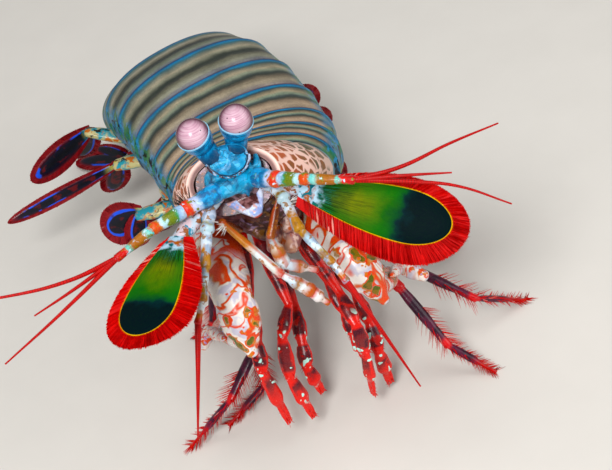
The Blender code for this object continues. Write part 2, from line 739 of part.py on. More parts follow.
def antennalScales():
    for side in SIDES:
        root, (length, yaw, rise), across = SCALES[side]
        end = 1 - SCALE_TIP_FRINGE / length

        def outline(t, edge):
            return scaleHalfWidth(t * end, end)

        run = (length * end, yaw, rise)
        pieces = [blade("piece", root, run, across, outline, SCALE_THICKNESS, SCALE_CAMBER, 12, 2)]
        along = heading(yaw, rise)
        lateral = Vector(across)
        lateral = (lateral - along * lateral.dot(along)).normalized()
        face = along.cross(lateral)
        for edge in (-1, 1):
            fringes = OUTER_FRINGE if edge == OUTER_EDGES[side] else INNER_FRINGE
            for k in range(VANES_PER_EDGE):
                q = VANE_FROM + (1 - VANE_FROM) * (k + 0.5) / VANES_PER_EDGE
                innerT, innerX = scaleEdge(q, (0, 0), end)
                outerT, outerX = scaleEdge(min(q + VANE_SWEEP, 1.0), fringes, 1.0)
                rim = Vector(root) + along * length * innerT + lateral * edge * innerX
                tip = Vector(root) + along * length * outerT + lateral * edge * outerX
                tip += face * VANE_TILT * (1 if k % 2 else -1)
                out = (tip - rim).normalized()
                start = rim - out * VANE_ROOT_DEPTH + face * SCALE_CAMBER * VANE_ROOT_LIFT
                pieces.append(vane(start, tip, out.cross(face), VANE_WIDTH))
        finish(fuse("antennal_scale_" + side, pieces), "scale")


def antennae():
    for side in SIDES:
        root, segments = ANTENNAE[side]
        points = joints(root, segments)
        pieces = []
        for k in range(len(segments)):
            a, b = ANTENNA_RADII[k], ANTENNA_RADII[k + 1]
            pieces.append(roundPiece("piece", points[k], points[k + 1], [a * 0.85, a, b], 1, 8))
        pieces.append(whip("piece", points[-1], ANTENNA_WHIPS[side], ANTENNA_WHIP_RADIUS, WHIP_TIP_RADIUS))
        finish(fuse("antenna_" + side, pieces), "claw")


def raptorials():
    for side, sign in SIDES.items():
        root, segments = MERUS[side]
        points = joints(root, segments)
        merus = roundPiece("raptorial_merus_" + side, *points, MERUS_RADII, MERUS_FLATNESS, 12)
        finish(merus, "claw")
        knee = points[1]
        toe = knee + heading(*KNUCKLE[side][1:]) * KNUCKLE[side][0]
        knuckle = roundPiece("piece", knee, toe, KNUCKLE_RADII, KNUCKLE_FLATNESS, 10)
        foldStart = blend(knee, toe, FOLD_PLACE)
        length, yaw, rise = FOLD[side]
        foldEnd = foldStart + heading(yaw, rise) * length
        fold = roundPiece("piece", foldStart, foldEnd, FOLD_RADII, FOLD_FLATNESS, 10)
        finish(fuse("raptorial_propodus_" + side, [knuckle, fold]), "claw")
        out = Vector((sign, 0, 0.3)).normalized()
        heel = foldEnd + out * (FOLD_RADII[1] + CLUB_RADIUS * HEEL_DEPTH)
        back = heading(yaw, rise)
        lean = heading(*CLUB_LEAN[side])
        clubRadii = [CLUB_RADIUS * share for share in CLUB_SCALES]
        club = roundPiece("piece", heel, heel + lean * CLUB_LENGTH, clubRadii)
        spike = roundPiece("piece", heel + back, heel - back * DACTYL_LENGTH, DACTYL_RADII, 0.9)
        finish(fuse("raptorial_dactyl_" + side, [club, spike]), "claw")


def bristles(start, end, radii, count, length):
    """Bristles up both sides of a limb's last segment, out to its tip."""
    along = (end - start).normalized()
    side = along.cross(Vector((0, 0, 1))).normalized()
    up = side.cross(along)
    pieces = []
    for k in range(count):
        share = blend(BRISTLE_FROM, BRISTLE_TO, k / (count - 1))
        turn = math.radians(blend(*BRISTLE_SPREAD, (k * BRISTLE_STEP) % 1.0))
        out = side * math.cos(turn) + up * math.sin(turn)
        root = blend(start, end, share) + out * blend(*radii, share) * BRISTLE_ROOT_SHARE
        tip = root + (out + along * BRISTLE_LEAN).normalized() * length
        pieces.append(vane(root, tip, along, BRISTLE_WIDTH))
    return pieces


def limb(name, root, segments, radii, slot, flat=0.8, sides=6, setae=None):
    points = joints(root, segments)
    pieces = []
    for k in range(len(segments)):
        a, b = radii[k], radii[k + 1]
        shape = [a * 0.8, max(a, b) * 1.05, b * 0.95]
        pieces.append(roundPiece("piece", points[k], points[k + 1], shape, flat, sides))
    if setae:
        pieces += bristles(points[-2], points[-1], radii[-2:], *setae)
    return finish(fuse(name, pieces), slot)


def smallLimbs():
    for side in SIDES:
        root, segments = FIRST_MAXILLIPEDS[side]
        limb("maxilliped_1_" + side, root, segments, FIRST_MAXILLIPED_RADII, "claw", 0.9)
    for (number, side), (root, segments) in LOWER_MAXILLIPEDS.items():
        name = f"maxilliped_{number}_{side}"
        limb(name, root, segments, LOWER_MAXILLIPED_RADII, "red", setae=MAXILLIPED_BRISTLES)
    for (number, side), (root, segments) in WALKING_LEGS.items():
        name = f"walking_leg_{number}_{side}"
        limb(name, root, segments, WALKING_LEG_RADII, "leg", setae=LEG_BRISTLES)


def leafHalfWidth(width):
    """The outline of a leaf that is widest at its middle and round at its end."""

    def outline(t, edge):
        if t < LEAF_WIDEST:
            return width * blend(LEAF_ROOT_SHARE, 1.0, math.sin(t / LEAF_WIDEST * math.pi / 2))
        closing = (t - LEAF_WIDEST) / (LEAF_BLUNTNESS - LEAF_WIDEST)
        return width * math.sqrt(max(1 - closing**2, 0.0))

    return outline


def pleopods():
    for (number, side), (root, stalk, lobes) in PLEOPODS.items():
        sign = SIDES[side]
        points = joints(root, [stalk])
        pieces = [roundPiece("piece", *points, PLEOPOD_STALK_RADII, STALK_FLATNESS, 6, (0, 1, 0))]
        for rows, (length, yaw, rise, width) in zip(LOBE_ROWS, lobes):
            start = points[1] - heading(yaw, rise) * LOBE_ROOT_DEPTH
            across = Vector((0, 0.25, 1)) if abs(rise) < LEVEL_RISE else Vector((sign, 0, 0.2))
            form = (leafHalfWidth(width), LOBE_THICKNESS, LOBE_CAMBER, rows)
            pieces.append(blade("piece", start, (length, yaw, rise), across, *form))
        finish(fuse(f"pleopod_{number}_{side}", pieces), "pleopod")


def tail():
    rear = trunkStations()[-1]
    length, yaw, drop = TELSON_RUN
    along = -heading(yaw, drop)
    side = rear[1]
    normal = side.cross(along).normalized()
    root = rear[0] + along * GAP
    rings = [sectionRing(root + along * length * t, side, normal, size) for t, *size in TELSON_SECTIONS]
    finish(loft("telson", rings), "tergite")
    out, under, behind = UROPOD_PLACE
    stalkLength, stalkTurn, stalkDrop = UROPOD_STALK
    for name, sign in SIDES.items():
        base = rear[0] + side * sign * out - normal * under + along * behind
        stalkEnd = base - heading(yaw - sign * stalkTurn, drop + stalkDrop) * stalkLength
        pieces = [roundPiece("piece", base, stalkEnd, UROPOD_STALK_RADII, STALK_FLATNESS, 8, side)]
        for turn, reach, width in UROPOD_LOBES:
            toward = yaw - sign * turn
            start = stalkEnd + heading(toward, 0) * UROPOD_ROOT_DEPTH
            run = (reach, toward + 180, UROPOD_LOBE_DROP)
            across = heading(toward + 90, 0)
            form = (leafHalfWidth(width), UROPOD_THICKNESS, UROPOD_CAMBER)
            pieces.append(blade("piece", start, run, across, *form))
        finish(fuse("uropod_" + name, pieces), "pleopod")


def centreOnFloor():
    """Moves the whole animal so that the origin lies under the middle of its box."""
    boxes = [boxOf(obj) for obj in nodes]
    low = Vector([min(box[0][k] for box in boxes) for k in range(3)])
    high = Vector([max(box[1][k] for box in boxes) for k in range(3)])
    shift = Vector((-(low.x + high.x) / 2, -(low.y + high.y) / 2, -low.z))
    for obj in nodes:
        obj.data.transform(Matrix.Translation(shift))


trunkPieces()
carapace()
headPieces()
eyes()
labrum()
antennules()
antennalScales()
antennae()
raptorials()
smallLimbs()
pleopods()
tail()
centreOnFloor()
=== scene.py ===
import math
import random

import bmesh
import bpy
from mathutils import Matrix, Vector


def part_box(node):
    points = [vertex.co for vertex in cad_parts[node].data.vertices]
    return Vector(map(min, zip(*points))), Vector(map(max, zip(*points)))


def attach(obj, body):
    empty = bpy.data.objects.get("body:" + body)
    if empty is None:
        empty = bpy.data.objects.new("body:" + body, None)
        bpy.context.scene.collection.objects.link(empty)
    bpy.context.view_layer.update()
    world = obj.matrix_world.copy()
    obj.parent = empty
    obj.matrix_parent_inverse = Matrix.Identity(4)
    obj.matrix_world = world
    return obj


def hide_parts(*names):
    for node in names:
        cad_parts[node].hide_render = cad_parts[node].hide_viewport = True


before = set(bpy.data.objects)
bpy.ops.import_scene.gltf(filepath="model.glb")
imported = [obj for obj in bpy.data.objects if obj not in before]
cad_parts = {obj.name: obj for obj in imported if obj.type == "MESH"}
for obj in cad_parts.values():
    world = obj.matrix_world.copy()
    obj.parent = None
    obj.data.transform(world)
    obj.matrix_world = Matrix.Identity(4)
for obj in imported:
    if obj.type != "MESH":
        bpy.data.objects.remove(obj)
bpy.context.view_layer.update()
mm = 0.001
floorClearance = 0.00002
eyes = {"right": (-3.3, 4.6, 66.0), "left": (4.3, 3.4, 66.0)}
eyeLow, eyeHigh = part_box("cornea_right")
shift = (eyeLow + eyeHigh) / 2 - Vector(eyes["right"]) * mm
sides = {"right": -1, "left": 1}
print("frame loaded, shift", [round(v / mm, 2) for v in shift])


# Directions and points are in millimetres, x to the animal's left and -y ahead.
def heading(yaw, rise):
    y, r = math.radians(yaw), math.radians(rise)
    return Vector((math.sin(y) * math.cos(r), -math.cos(y) * math.cos(r), math.sin(r)))


def joints(root, segments):
    points = [Vector(root)]
    for length, yaw, rise in segments:
        points.append(points[-1] + heading(yaw, rise) * length)
    return points


def blend(a, b, share):
    return a + (b - a) * share


def smooth(low, high, value):
    t = min(max((value - low) / (high - low), 0.0), 1.0)
    return t * t * (3 - 2 * t)


def hump(apart, width):
    return math.exp(-(apart / width) ** 2)


def profile(stops, t):  # a smooth line through (place, value) stops
    for (t0, v0), (t1, v1) in zip(stops, stops[1:]):
        if t <= t1:
            return blend(v0, v1, smooth(t0, t1, t))
    return stops[-1][1]


# A soup gathers points, faces and three painted values a point, run = (along, around, place).
def newSoup():
    return {"points": [], "faces": [], "runs": [], "patches": []}


def addRings(soup, rings, runs, arched=False):
    first, count = len(soup["points"]), len(rings[0])
    for ring, values in zip(rings, runs):
        soup["points"] += ring
        soup["runs"] += values
    for row in range(len(rings) - 1):
        for k in range(count):
            a, b = first + row * count + k, first + row * count + (k + 1) % count
            soup["faces"].append((a, b, b + count, a + count))
    for ring, values, row in ((rings[0], runs[0], 0), (rings[-1], runs[-1], len(rings) - 1)):
        if arched:  # the ring runs out and back, so its two halves are joined side by side
            base = first + row * count
            for k in range(count // 2 - 1):
                soup["faces"].append((base + k, base + k + 1, base + count - 2 - k, base + count - 1 - k))
            continue
        soup["points"].append(sum(ring, Vector()) / count)
        soup["runs"].append((values[0][0], 0, values[0][2]))
        tip = len(soup["points"]) - 1
        for k in range(count):
            a, b = first + row * count + k, first + row * count + (k + 1) % count
            soup["faces"].append((a, b, tip))


def addGridFaces(soup, first, rows, columns):
    for row in range(rows):
        for column in range(columns):
            a = first + row * (columns + 1) + column
            soup["faces"].append((a, a + 1, a + columns + 2, a + columns + 1))


def soupMesh(name, soup):
    mesh = bpy.data.meshes.new(name)
    points = [Vector(p) * mm + shift for p in soup["points"]]
    for point in points:
        point.z = max(point.z, floorClearance)  # what presses into the floor gets a small flat
    mesh.from_pydata(points, [], soup["faces"])
    run = mesh.attributes.new("run", "FLOAT_VECTOR", "POINT")
    run.data.foreach_set("vector", [v for values in soup["runs"] for v in values])
    if soup["patches"]:
        layer = mesh.uv_layers.new(name="OFBake")
        spots = soup["patches"]
        layer.data.foreach_set("uv", [v for loop in mesh.loops for v in spots[loop.vertex_index]])
    shell = bmesh.new()
    shell.from_mesh(mesh)
    bmesh.ops.remove_doubles(shell, verts=shell.verts, dist=1e-7)
    bmesh.ops.recalc_face_normals(shell, faces=shell.faces)
    shell.to_mesh(mesh)
    shell.free()
    return mesh


sharpAngle, softAngle = 50, 80  # edges that turn more stay sharp; leaves and soft skins take the wider angle


def makePiece(name, mesh, material, nodes=(), sharp=sharpAngle):
    if isinstance(mesh, dict):
        mesh = soupMesh(name, mesh)
    mesh.shade_smooth()
    mesh.set_sharp_from_angle(angle=math.radians(sharp))
    mesh.materials.clear()
    mesh.materials.append(material)
    piece = bpy.data.objects.new(name, mesh)
    bpy.context.scene.collection.objects.link(piece)
    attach(piece, "root")
    if nodes:
        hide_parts(*nodes)
    return piece


def skinOver(name, soup, voxel, rounds):  # one soft skin over overlapping forms
    rough = bpy.data.objects.new(name, soupMesh(name, soup))
    bpy.context.scene.collection.objects.link(rough)
    remesh = rough.modifiers.new("remesh", "REMESH")
    remesh.mode = "VOXEL"
    remesh.voxel_size = voxel * mm
    soften = rough.modifiers.new("soften", "SMOOTH")
    soften.factor = 0.5
    soften.iterations = rounds
    bpy.context.view_layer.update()
    graph = bpy.context.evaluated_depsgraph_get()
    mesh = bpy.data.meshes.new_from_object(rough.evaluated_get(graph))
    bpy.data.objects.remove(rough)
    return mesh


def makeSkin(name, soup, voxel, rounds, material, nodes=()):
    makePiece(name, skinOver(name, soup, voxel, rounds), material, nodes, softAngle)


# Tubes
def crossFrame(along, across=None):
    side = Vector(across) if across else along.cross(Vector((0, 0, 1)))
    if side.length < 0.1:
        side = Vector((1, 0, 0))
    side = (side - along * side.dot(along)).normalized()
    return side, side.cross(along)


def turnsOf(count):
    return [2 * math.pi * k / count for k in range(count)]


def fromTop(a):  # 0 at the middle of the back, 1 and -1 under the belly
    return math.atan2(math.cos(a), math.sin(a)) / math.pi


def ovalRing(centre, side, up, halfWide, halfHigh, count):
    return [centre + side * halfWide * math.cos(a) + up * halfHigh * math.sin(a) for a in turnsOf(count)]


def aroundRuns(count, along, place):
    return [(along, 2 * k / count - (2 if k > count / 2 else 0), place) for k in range(count)]


def addSegment(soup, start, end, radii, places, flat=1.0, count=20, rows=12, across=None):
    start, end = Vector(start), Vector(end)
    along = (end - start).normalized()
    side, up = crossFrame(along, across)
    length = (end - start).length
    stops = [(k / (len(radii) - 1), radius) for k, radius in enumerate(radii)]
    capA, capB = 0.7 * radii[0], 0.7 * radii[-1]
    stations = []
    for k in range(4):
        share = math.cos(math.pi / 2 * (k + 0.4) / 4.4)
        stations.append((-capA * share, radii[0] * math.sqrt(1 - share * share)))
    for k in range(rows + 1):
        stations.append((length * k / rows, profile(stops, k / rows)))
    for k in range(4):
        share = math.sin(math.pi / 2 * (k + 1) / 4.4)
        stations.append((length + capB * share, radii[-1] * math.sqrt(1 - share * share)))
    rings, runs = [], []
    for distance, radius in stations:
        t = min(max(distance / length, 0.0), 1.0)
        rings.append(ovalRing(start + along * distance, side, up, radius, radius * flat, count))
        runs.append(aroundRuns(count, t, blend(places[0], places[1], t)))
    addRings(soup, rings, runs)


def addLimb(soup, root, segments, look):  # each station takes a share of its segment's near, far or wider end
    points, radii = joints(root, segments), look["radii"]
    count = len(segments)
    for k in range(count):
        ends = {"near": radii[k], "far": radii[k + 1], "wide": max(radii[k], radii[k + 1])}
        shape = [ends[end] * share for end, share in look["shape"]]
        places = (k / count, (k + 1) / count)
        addSegment(soup, points[k], points[k + 1], shape, places, look["flat"], *look["rings"])
    return points


def addForms(soup, forms, places, *look):  # a form is its start, its end and its radii
    for start, end, radii in forms:
        addSegment(soup, start, end, radii, places, *look)
    return soup


def curvePoints(points, steps):  # the same easy bends as an automatic Bezier curve
    reach = 1 / 2.5614
    tangents = []
    for k, point in enumerate(points):
        before = (point - points[k - 1]).normalized() if k > 0 else Vector()
        after = (points[k + 1] - point).normalized() if k + 1 < len(points) else Vector()
        tangents.append((before + after).normalized())
    line = []
    for k in range(len(points) - 1):
        a, d = points[k], points[k + 1]
        span = (d - a).length * reach
        b, c = a + tangents[k] * span, d - tangents[k + 1] * span
        for step in range(steps if k + 2 < len(points) else steps + 1):
            t = step / steps
            u = 1 - t
            line.append(a * u**3 + b * 3 * u * u * t + c * 3 * u * t * t + d * t**3)
    return line


def addWhip(soup, points, thick, thin, places, count=8, steps=14):
    line = curvePoints(points, steps)
    side = crossFrame((line[1] - line[0]).normalized())[0]
    rings, runs = [], []
    for k, point in enumerate(line):
        along = (line[min(k + 1, len(line) - 1)] - line[max(k - 1, 0)]).normalized()
        side = (side - along * side.dot(along)).normalized()
        t = k / (len(line) - 1)
        radius = blend(thick, thin, t)
        rings.append(ovalRing(point, side, side.cross(along), radius, radius, count))
        runs.append(aroundRuns(count, t, blend(places[0], places[1], t)))
    addRings(soup, rings, runs)


fineTaper = ((0.0, 1.0), (0.5, 0.75), (0.82, 0.42))
fullTaper = ((0.0, 1.0), (0.6, 0.95), (0.9, 0.6))


# A bristle is a thin three-sided blade that bends a little; its patch is at its root's place.
def addBristle(soup, root, tip, width, sag, spot, shade, thick=0.35, taper=fineTaper):
    along = (tip - root).normalized()
    side, up = crossFrame(along, sag if sag.length > 0.01 else None)
    first = len(soup["points"])
    for share, wide in taper:
        centre = blend(root, tip, share) + sag * math.sin(math.pi * share)
        for x, y in ((-1, -0.4), (1, -0.4), (0, 0.8)):
            soup["points"].append(centre + up * x * width / 2 * wide + side * y * width / 2 * wide * thick)
            soup["runs"].append((share, shade[0], shade[1]))
            soup["patches"].append((spot[0] + 0.0015 * x * wide, spot[1] + 0.003 * share))
    soup["points"].append(tip)
    soup["runs"].append((1.0, shade[0], shade[1]))
    soup["patches"].append((spot[0], spot[1] + 0.003))
    for row in range(2):
        for k in range(3):
            a, b = first + row * 3 + k, first + row * 3 + (k + 1) % 3
            soup["faces"].append((a, b, b + 3, a + 3))
    for k in range(3):
        soup["faces"].append((first + 6 + k, first + 6 + (k + 1) % 3, first + 9))
    soup["faces"].append((first, first + 1, first + 2))


# Leaves: outline points are (share of the length, half width) at q of the way round one edge.
def leafEdge(shape, q):
    turn, widest = 0.55, shape["widest"]
    if q < turn:
        swell = math.sin(q / turn * math.pi / 2)
        return widest * q / turn, blend(shape["root"], shape["half"], swell)
    a = (q - turn) / (1 - turn) * math.pi / 2
    return widest + (shape["end"] - widest) * math.sin(a), shape["half"] * math.cos(a)


def leafFrame(leaf):
    along = heading(*leaf["run"][1:])
    side = Vector(leaf["across"])
    side = (side - along * side.dot(along)).normalized()
    return Vector(leaf["root"]), along, side, along.cross(side)


def leafPoint(leaf, t, x, lift):
    root, along, side, face = leafFrame(leaf)
    wide = leaf["fullHalf"]
    bow = leaf["camber"] * (1 - min(1.0, (x / wide) ** 2))
    return root + along * leaf["run"][0] * t + side * x + face * (bow + lift)


def addLeaf(soup, leaf, rows=44, columns=9):
    for edge in (-1, 1):
        shape = leaf["shapes"][edge]
        for layer in (-1, 1):
            first = len(soup["points"])
            for row in range(rows + 1):
                t, half = leafEdge(shape, row / rows)
                middle = min(t, shape["widest"] + 0.4 * (t - shape["widest"]))
                for column in range(columns + 1):
                    rho = column / columns
                    body = 1 - 0.75 * rho**4
                    vein = leaf.get("veins", 0) * math.sin(9 * math.pi * rho) * (1 - rho)
                    body *= 0.4 + 0.6 * smooth(0, 0.1, row / rows)
                    lift = layer * leaf["thickness"] / 2 * body + vein
                    along = blend(middle, t, rho)
                    soup["points"].append(leafPoint(leaf, along, edge * half * rho, lift if rho < 1 else 0))
                    soup["runs"].append((rho, along, 0.5 + edge * leaf["outer"] / 2))
            addGridFaces(soup, first, rows, columns)


def webOf(leaf, share):  # the thin web that carries a fringe, out to a share of its bristles
    shapes = {}
    for edge in (-1, 1):
        inner, outer = leaf["shapes"][edge], leaf["fringes"][edge]
        shapes[edge] = {key: blend(inner[key], outer[key], share) for key in inner}
    return dict(leaf, shapes=shapes, thickness=0.2, veins=0)


def addFringe(soup, leaf, look, seed):
    dice = random.Random(seed)
    for edge in (-1, 1):
        inner, outer = leaf["shapes"][edge], leaf["fringes"][edge]
        count = look["count"]
        for k in range(count):
            q = look["from"] + (1 - look["from"]) * (k + dice.random()) / count
            t0, x0 = leafEdge(inner, q)
            t1, x1 = leafEdge(outer, min(q + look["sweep"], 1.0))
            root = leafPoint(leaf, t0 - 0.004, edge * (x0 - 0.25), dice.uniform(-0.08, 0.08))
            tip = leafPoint(leaf, t1, edge * x1, dice.uniform(-0.25, 0.25))
            tip = blend(root, tip, dice.uniform(look["short"], 1.0))
            sag = leafFrame(leaf)[3] * dice.uniform(-0.12, 0.12)
            spot = (0.5 + edge * 0.4 * (0.3 + x0 / 12), 0.1 + 0.8 * t0)
            width = look["width"] * dice.uniform(0.8, 1.2)
            addBristle(soup, root, tip, width, sag, spot, (q, dice.random()), 0.3, fullTaper)


# Shared shader effects
def tint(code):
    values = [int(code[k:k + 2], 16) / 255 for k in (1, 3, 5)]
    return (*[v / 12.92 if v <= 0.04045 else ((v + 0.055) / 1.055) ** 2.4 for v in values], 1)


canvas = {"material": None, "tree": None}  # what is being painted now


def setInputs(inputs, values):
    for key, value in values.items():
        if isinstance(value, bpy.types.NodeSocket):
            canvas["tree"].links.new(value, inputs[key])
        else:
            inputs[key].default_value = value


def addNode(kind, values=None, **settings):
    node = canvas["tree"].nodes.new("ShaderNode" + kind)
    for name, value in settings.items():
        setattr(node, name, value)
    setInputs(node.inputs, values or {})
    return node


def calc(operation, a, b=0.0):
    return addNode("Math", {0: a, 1: b}, operation=operation).outputs[0]


def times(a, b):
    return calc("MULTIPLY", a, b)


def plus(a, b):
    return calc("ADD", a, b)


def mixed(factor, a, b, mode="MIX"):
    a, b = (tint(v) if isinstance(v, str) else v for v in (a, b))
    return addNode("Mix", {0: factor, 6: a, 7: b}, data_type="RGBA", blend_type=mode).outputs[2]


def ramp(value, stops):
    node = addNode("ValToRGB", {0: value})
    elements = node.color_ramp.elements
    elements.remove(elements[1])
    for k, (place, code) in enumerate(stops):
        element = elements[0] if k == 0 else elements.new(place)
        element.position = place
        element.color = tint(code)
    return node.outputs[0]


def noise(vector, scale, detail=3.0, rough=0.55, distortion=0.0):
    values = {"Vector": vector, "Scale": scale, "Detail": detail, "Roughness": rough}
    return addNode("TexNoise", dict(values, Distortion=distortion)).outputs["Fac"]


def waver(place, scale, reach):  # an uneven shift to both sides
    return times(calc("SUBTRACT", noise(place, scale), 0.5), reach)


def newGroup(name, inputs, outputs):
    group = bpy.data.node_groups.new(name, "ShaderNodeTree")
    for label, value in inputs.items():
        kind = "NodeSocketVector" if value is None else "NodeSocketFloat"
        socket = group.interface.new_socket(label, in_out="INPUT", socket_type=kind)
        if value is not None:
            socket.default_value = value
    for label in outputs:
        group.interface.new_socket(label, in_out="OUTPUT", socket_type="NodeSocketFloat")
    canvas["tree"] = group
    return group, group.nodes.new("NodeGroupInput").outputs, group.nodes.new("NodeGroupOutput").inputs


def makeReliefGroup():  # pores, fine wrinkles and the change of gloss that goes with them
    inputs = {"Place": None, "Scale": 1.0, "Base": 0.3}
    group, given, result = newGroup("shellRelief", inputs, ["Height", "Gloss"])
    broad = noise(given["Place"], times(given["Scale"], 0.5))
    fine = noise(given["Place"], times(given["Scale"], 3.5), 4)
    pores = addNode("TexVoronoi", {"Vector": given["Place"], "Scale": times(given["Scale"], 2.2)})
    pits = calc("MINIMUM", pores.outputs["Distance"], 0.35)
    height = plus(times(broad, 0.5), times(fine, 0.35))
    group.links.new(plus(height, times(pits, 0.5)), result["Height"])
    gloss = plus(given["Base"], times(calc("SUBTRACT", fine, 0.5), 0.3))
    group.links.new(gloss, result["Gloss"])
    return group


def makeBlotchGroup():  # soft-edged spots of an uneven size
    inputs = {"Place": None, "Scale": 0.6, "Level": 0.55, "Soft": 0.05}
    group, given, result = newGroup("blotches", inputs, ["Mask"])
    spread = noise(given["Place"], given["Scale"], 3, 0.5, 0.4)
    low = calc("SUBTRACT", given["Level"], given["Soft"])
    high = plus(given["Level"], given["Soft"])
    mask = addNode("MapRange", {0: spread, 1: low, 2: high}, interpolation_type="SMOOTHSTEP")
    group.links.new(mask.outputs[0], result["Mask"])
    return group


def makeBandGroup():  # one band across a painted value
    inputs = {"Value": 0.0, "Low": 0.3, "High": 0.6, "Soft": 0.03}
    group, given, result = newGroup("band", inputs, ["Mask"])
    masks = []
    for edge in ("Low", "High"):
        low = calc("SUBTRACT", given[edge], given["Soft"])
        high = plus(given[edge], given["Soft"])
        mask = addNode("MapRange", {0: given["Value"], 1: low, 2: high}, interpolation_type="SMOOTHSTEP")
        masks.append(mask.outputs[0])
    group.links.new(times(masks[0], calc("SUBTRACT", 1.0, masks[1])), result["Mask"])
    return group


def makeSpotGroup():  # rounded spots of an uneven outline, each inside a thin ring
    inputs = {"Place": None, "Scale": 0.4, "Size": 0.35, "Edge": 0.08}
    group, given, result = newGroup("ringedSpots", inputs, ["Core", "Ring"])
    bend = addNode("TexNoise", {"Vector": given["Place"], "Scale": 0.4, "Detail": 2.0}).outputs["Color"]
    bend = addNode("VectorMath", {0: bend, 1: (0.5, 0.5, 0.5)}, operation="SUBTRACT").outputs[0]
    bend = addNode("VectorMath", {0: bend, "Scale": 4.5}, operation="SCALE").outputs[0]
    moved = addNode("VectorMath", {0: given["Place"], 1: bend}, operation="ADD").outputs[0]
    cells = addNode("TexVoronoi", {"Vector": moved, "Scale": given["Scale"], "Randomness": 0.85})
    masks = []
    for size in (given["Size"], plus(given["Size"], given["Edge"])):
        low, high = (plus(size, soft) for soft in (-0.02, 0.02))
        inputs = {0: cells.outputs["Distance"], 1: low, 2: high}
        masks.append(addNode("MapRange", inputs, interpolation_type="SMOOTHSTEP").outputs[0])
    group.links.new(calc("SUBTRACT", 1.0, masks[0]), result["Core"])
    group.links.new(calc("SUBTRACT", masks[0], masks[1]), result["Ring"])
    return group


groups = {
    "relief": makeReliefGroup(), "blotches": makeBlotchGroup(),
    "band": makeBandGroup(), "ringedSpots": makeSpotGroup(),
}


def useGroup(name, **values):
    node = addNode("Group", None, node_tree=groups[name])
    setInputs(node.inputs, values)
    return node.outputs


def blotches(place, scale, level, soft=0.05):
    return useGroup("blotches", Place=place, Scale=scale, Level=level, Soft=soft)["Mask"]


def band(value, low, high, soft=0.03):
    return useGroup("band", Value=value, Low=low, High=high, Soft=soft)["Mask"]


def patched(place, colour, patches):  # one layer of blotches after another: scale, level, softness, colour
    for scale, level, soft, code in patches:
        colour = mixed(blotches(place, scale, level, soft), colour, code)
    return colour


def grained(share, colour, grain, stops):
    return mixed(share, colour, ramp(grain, stops), "OVERLAY")


def startMaterial(name):
    material = bpy.data.materials.new(name)
    material.use_nodes = True
    canvas.update(material=material, tree=material.node_tree)
    spot = addNode("TexCoord").outputs["Object"]
    place = addNode("VectorMath", {0: spot, "Scale": 1000.0}, operation="SCALE").outputs[0]
    painted = addNode("Attribute", None, attribute_name="run").outputs["Vector"]
    return place, addNode("SeparateXYZ", {0: painted}).outputs


def setShader(values):
    setInputs(canvas["tree"].nodes["Principled BSDF"].inputs, values)


def endMaterial(place, colour, scale, rough, bump, coat=0.3, glow=0.0, gloss=0.25):
    relief = useGroup("relief", Place=place, Scale=scale, Base=rough)
    normal = addNode("Bump", {"Height": relief["Height"], "Strength": bump, "Distance": 0.0003}).outputs[0]
    setShader({
        "Base Color": colour, "Roughness": relief["Gloss"], "Normal": normal,
        "Coat Weight": coat * 0.5, "Coat Roughness": 0.12, "Specular IOR Level": gloss,
        "Subsurface Weight": glow, "Subsurface Radius": (0.0012, 0.0005, 0.0003), "Subsurface Scale": 1.0,
    })
    return canvas["material"]


def patchedMaterial(name, base, patches, **look):
    place, _ = startMaterial(name)
    return endMaterial(place, patched(place, base, patches), **look)


def webMaterial(name, rays, codes, **look):  # fine rays from root to rim
    place, run = startMaterial(name)
    grid = addNode("CombineXYZ", {0: times(run[1], rays[0]), 1: times(run[0], rays[1])}).outputs[0]
    return endMaterial(place, mixed(noise(grid, 1.0), *codes), **look)


print("shared effects ready")


# The trunk: name, length, yaw, drop, and the half width, height over and depth under its axis
trunk = {
    "start": (0.5, 3.0, 55.0),
    "front": (6.6, 3.9, 6.0),
    "runs": [
        ("thorax_front", 32.0, -18, 42, 13.2, 5.9, 8.6),
        ("thorax_6", 6.0, -18, 33, 15.6, 8.6, 8.2),
        ("thorax_7", 6.0, -13, 24, 16.8, 9.0, 8.0),
        ("thorax_8", 6.5, -6, 12, 17.6, 9.2, 8.0),
        ("abdomen_1", 9.5, 0, 2, 18.0, 9.3, 8.2),
        ("abdomen_2", 10.0, 4, 0, 18.2, 9.4, 8.2),
        ("abdomen_3", 10.0, 6, 3, 17.8, 9.2, 8.0),
        ("abdomen_4", 10.0, 8, 18, 17.0, 8.8, 7.6),
        ("abdomen_5", 10.0, 9, 36, 15.6, 8.0, 6.8),
        ("abdomen_6", 9.0, 9, 50, 13.4, 5.2, 4.6),
    ],
    "backPower": 2 / 2.3, "bellyPower": 2 / 2.9, "count": 96, "rows": 26, "gap": 0.15,
    "rearRidges": (0.06, 0.19, 0.33),
    "relief": [(0, -0.5), (0.08, -0.14), (0.3, 0.0), (0.7, 0.1), (0.92, 0.3), (0.975, 0.36), (1.0, 0.05)],
    # The darkest stops of both ramps, from 0.975 to each segment's rear edge, are painted shade on the drop of
    # the margin that overlaps the next segment; the red-brown stop at 0.962 is the margin's own line.
    "colours": [
        (0.0, "#3c3030"), (0.06, "#a08870"), (0.2, "#c4a88c"), (0.33, "#9c846c"), (0.43, "#40443c"),
        (0.5, "#4c5c5c"), (0.58, "#8ca088"), (0.68, "#a89878"), (0.77, "#6c6450"), (0.82, "#1c3444"),
        (0.88, "#1880ac"), (0.93, "#0f6498"), (0.962, "#7a3810"), (0.975, "#3c1c10"), (1.0, "#1c1410"),
    ],
    "farColours": [
        (0.0, "#2c5c74"), (0.06, "#6c7484"), (0.16, "#889080"), (0.28, "#68705c"), (0.38, "#283434"),
        (0.48, "#34382e"), (0.58, "#84806c"), (0.68, "#aca48c"), (0.77, "#7c8478"), (0.84, "#3c6c74"),
        (0.88, "#2c7c9c"), (0.915, "#0c74ac"), (0.95, "#0c4c78"), (0.975, "#3c2418"), (1.0, "#181410"),
    ],
}


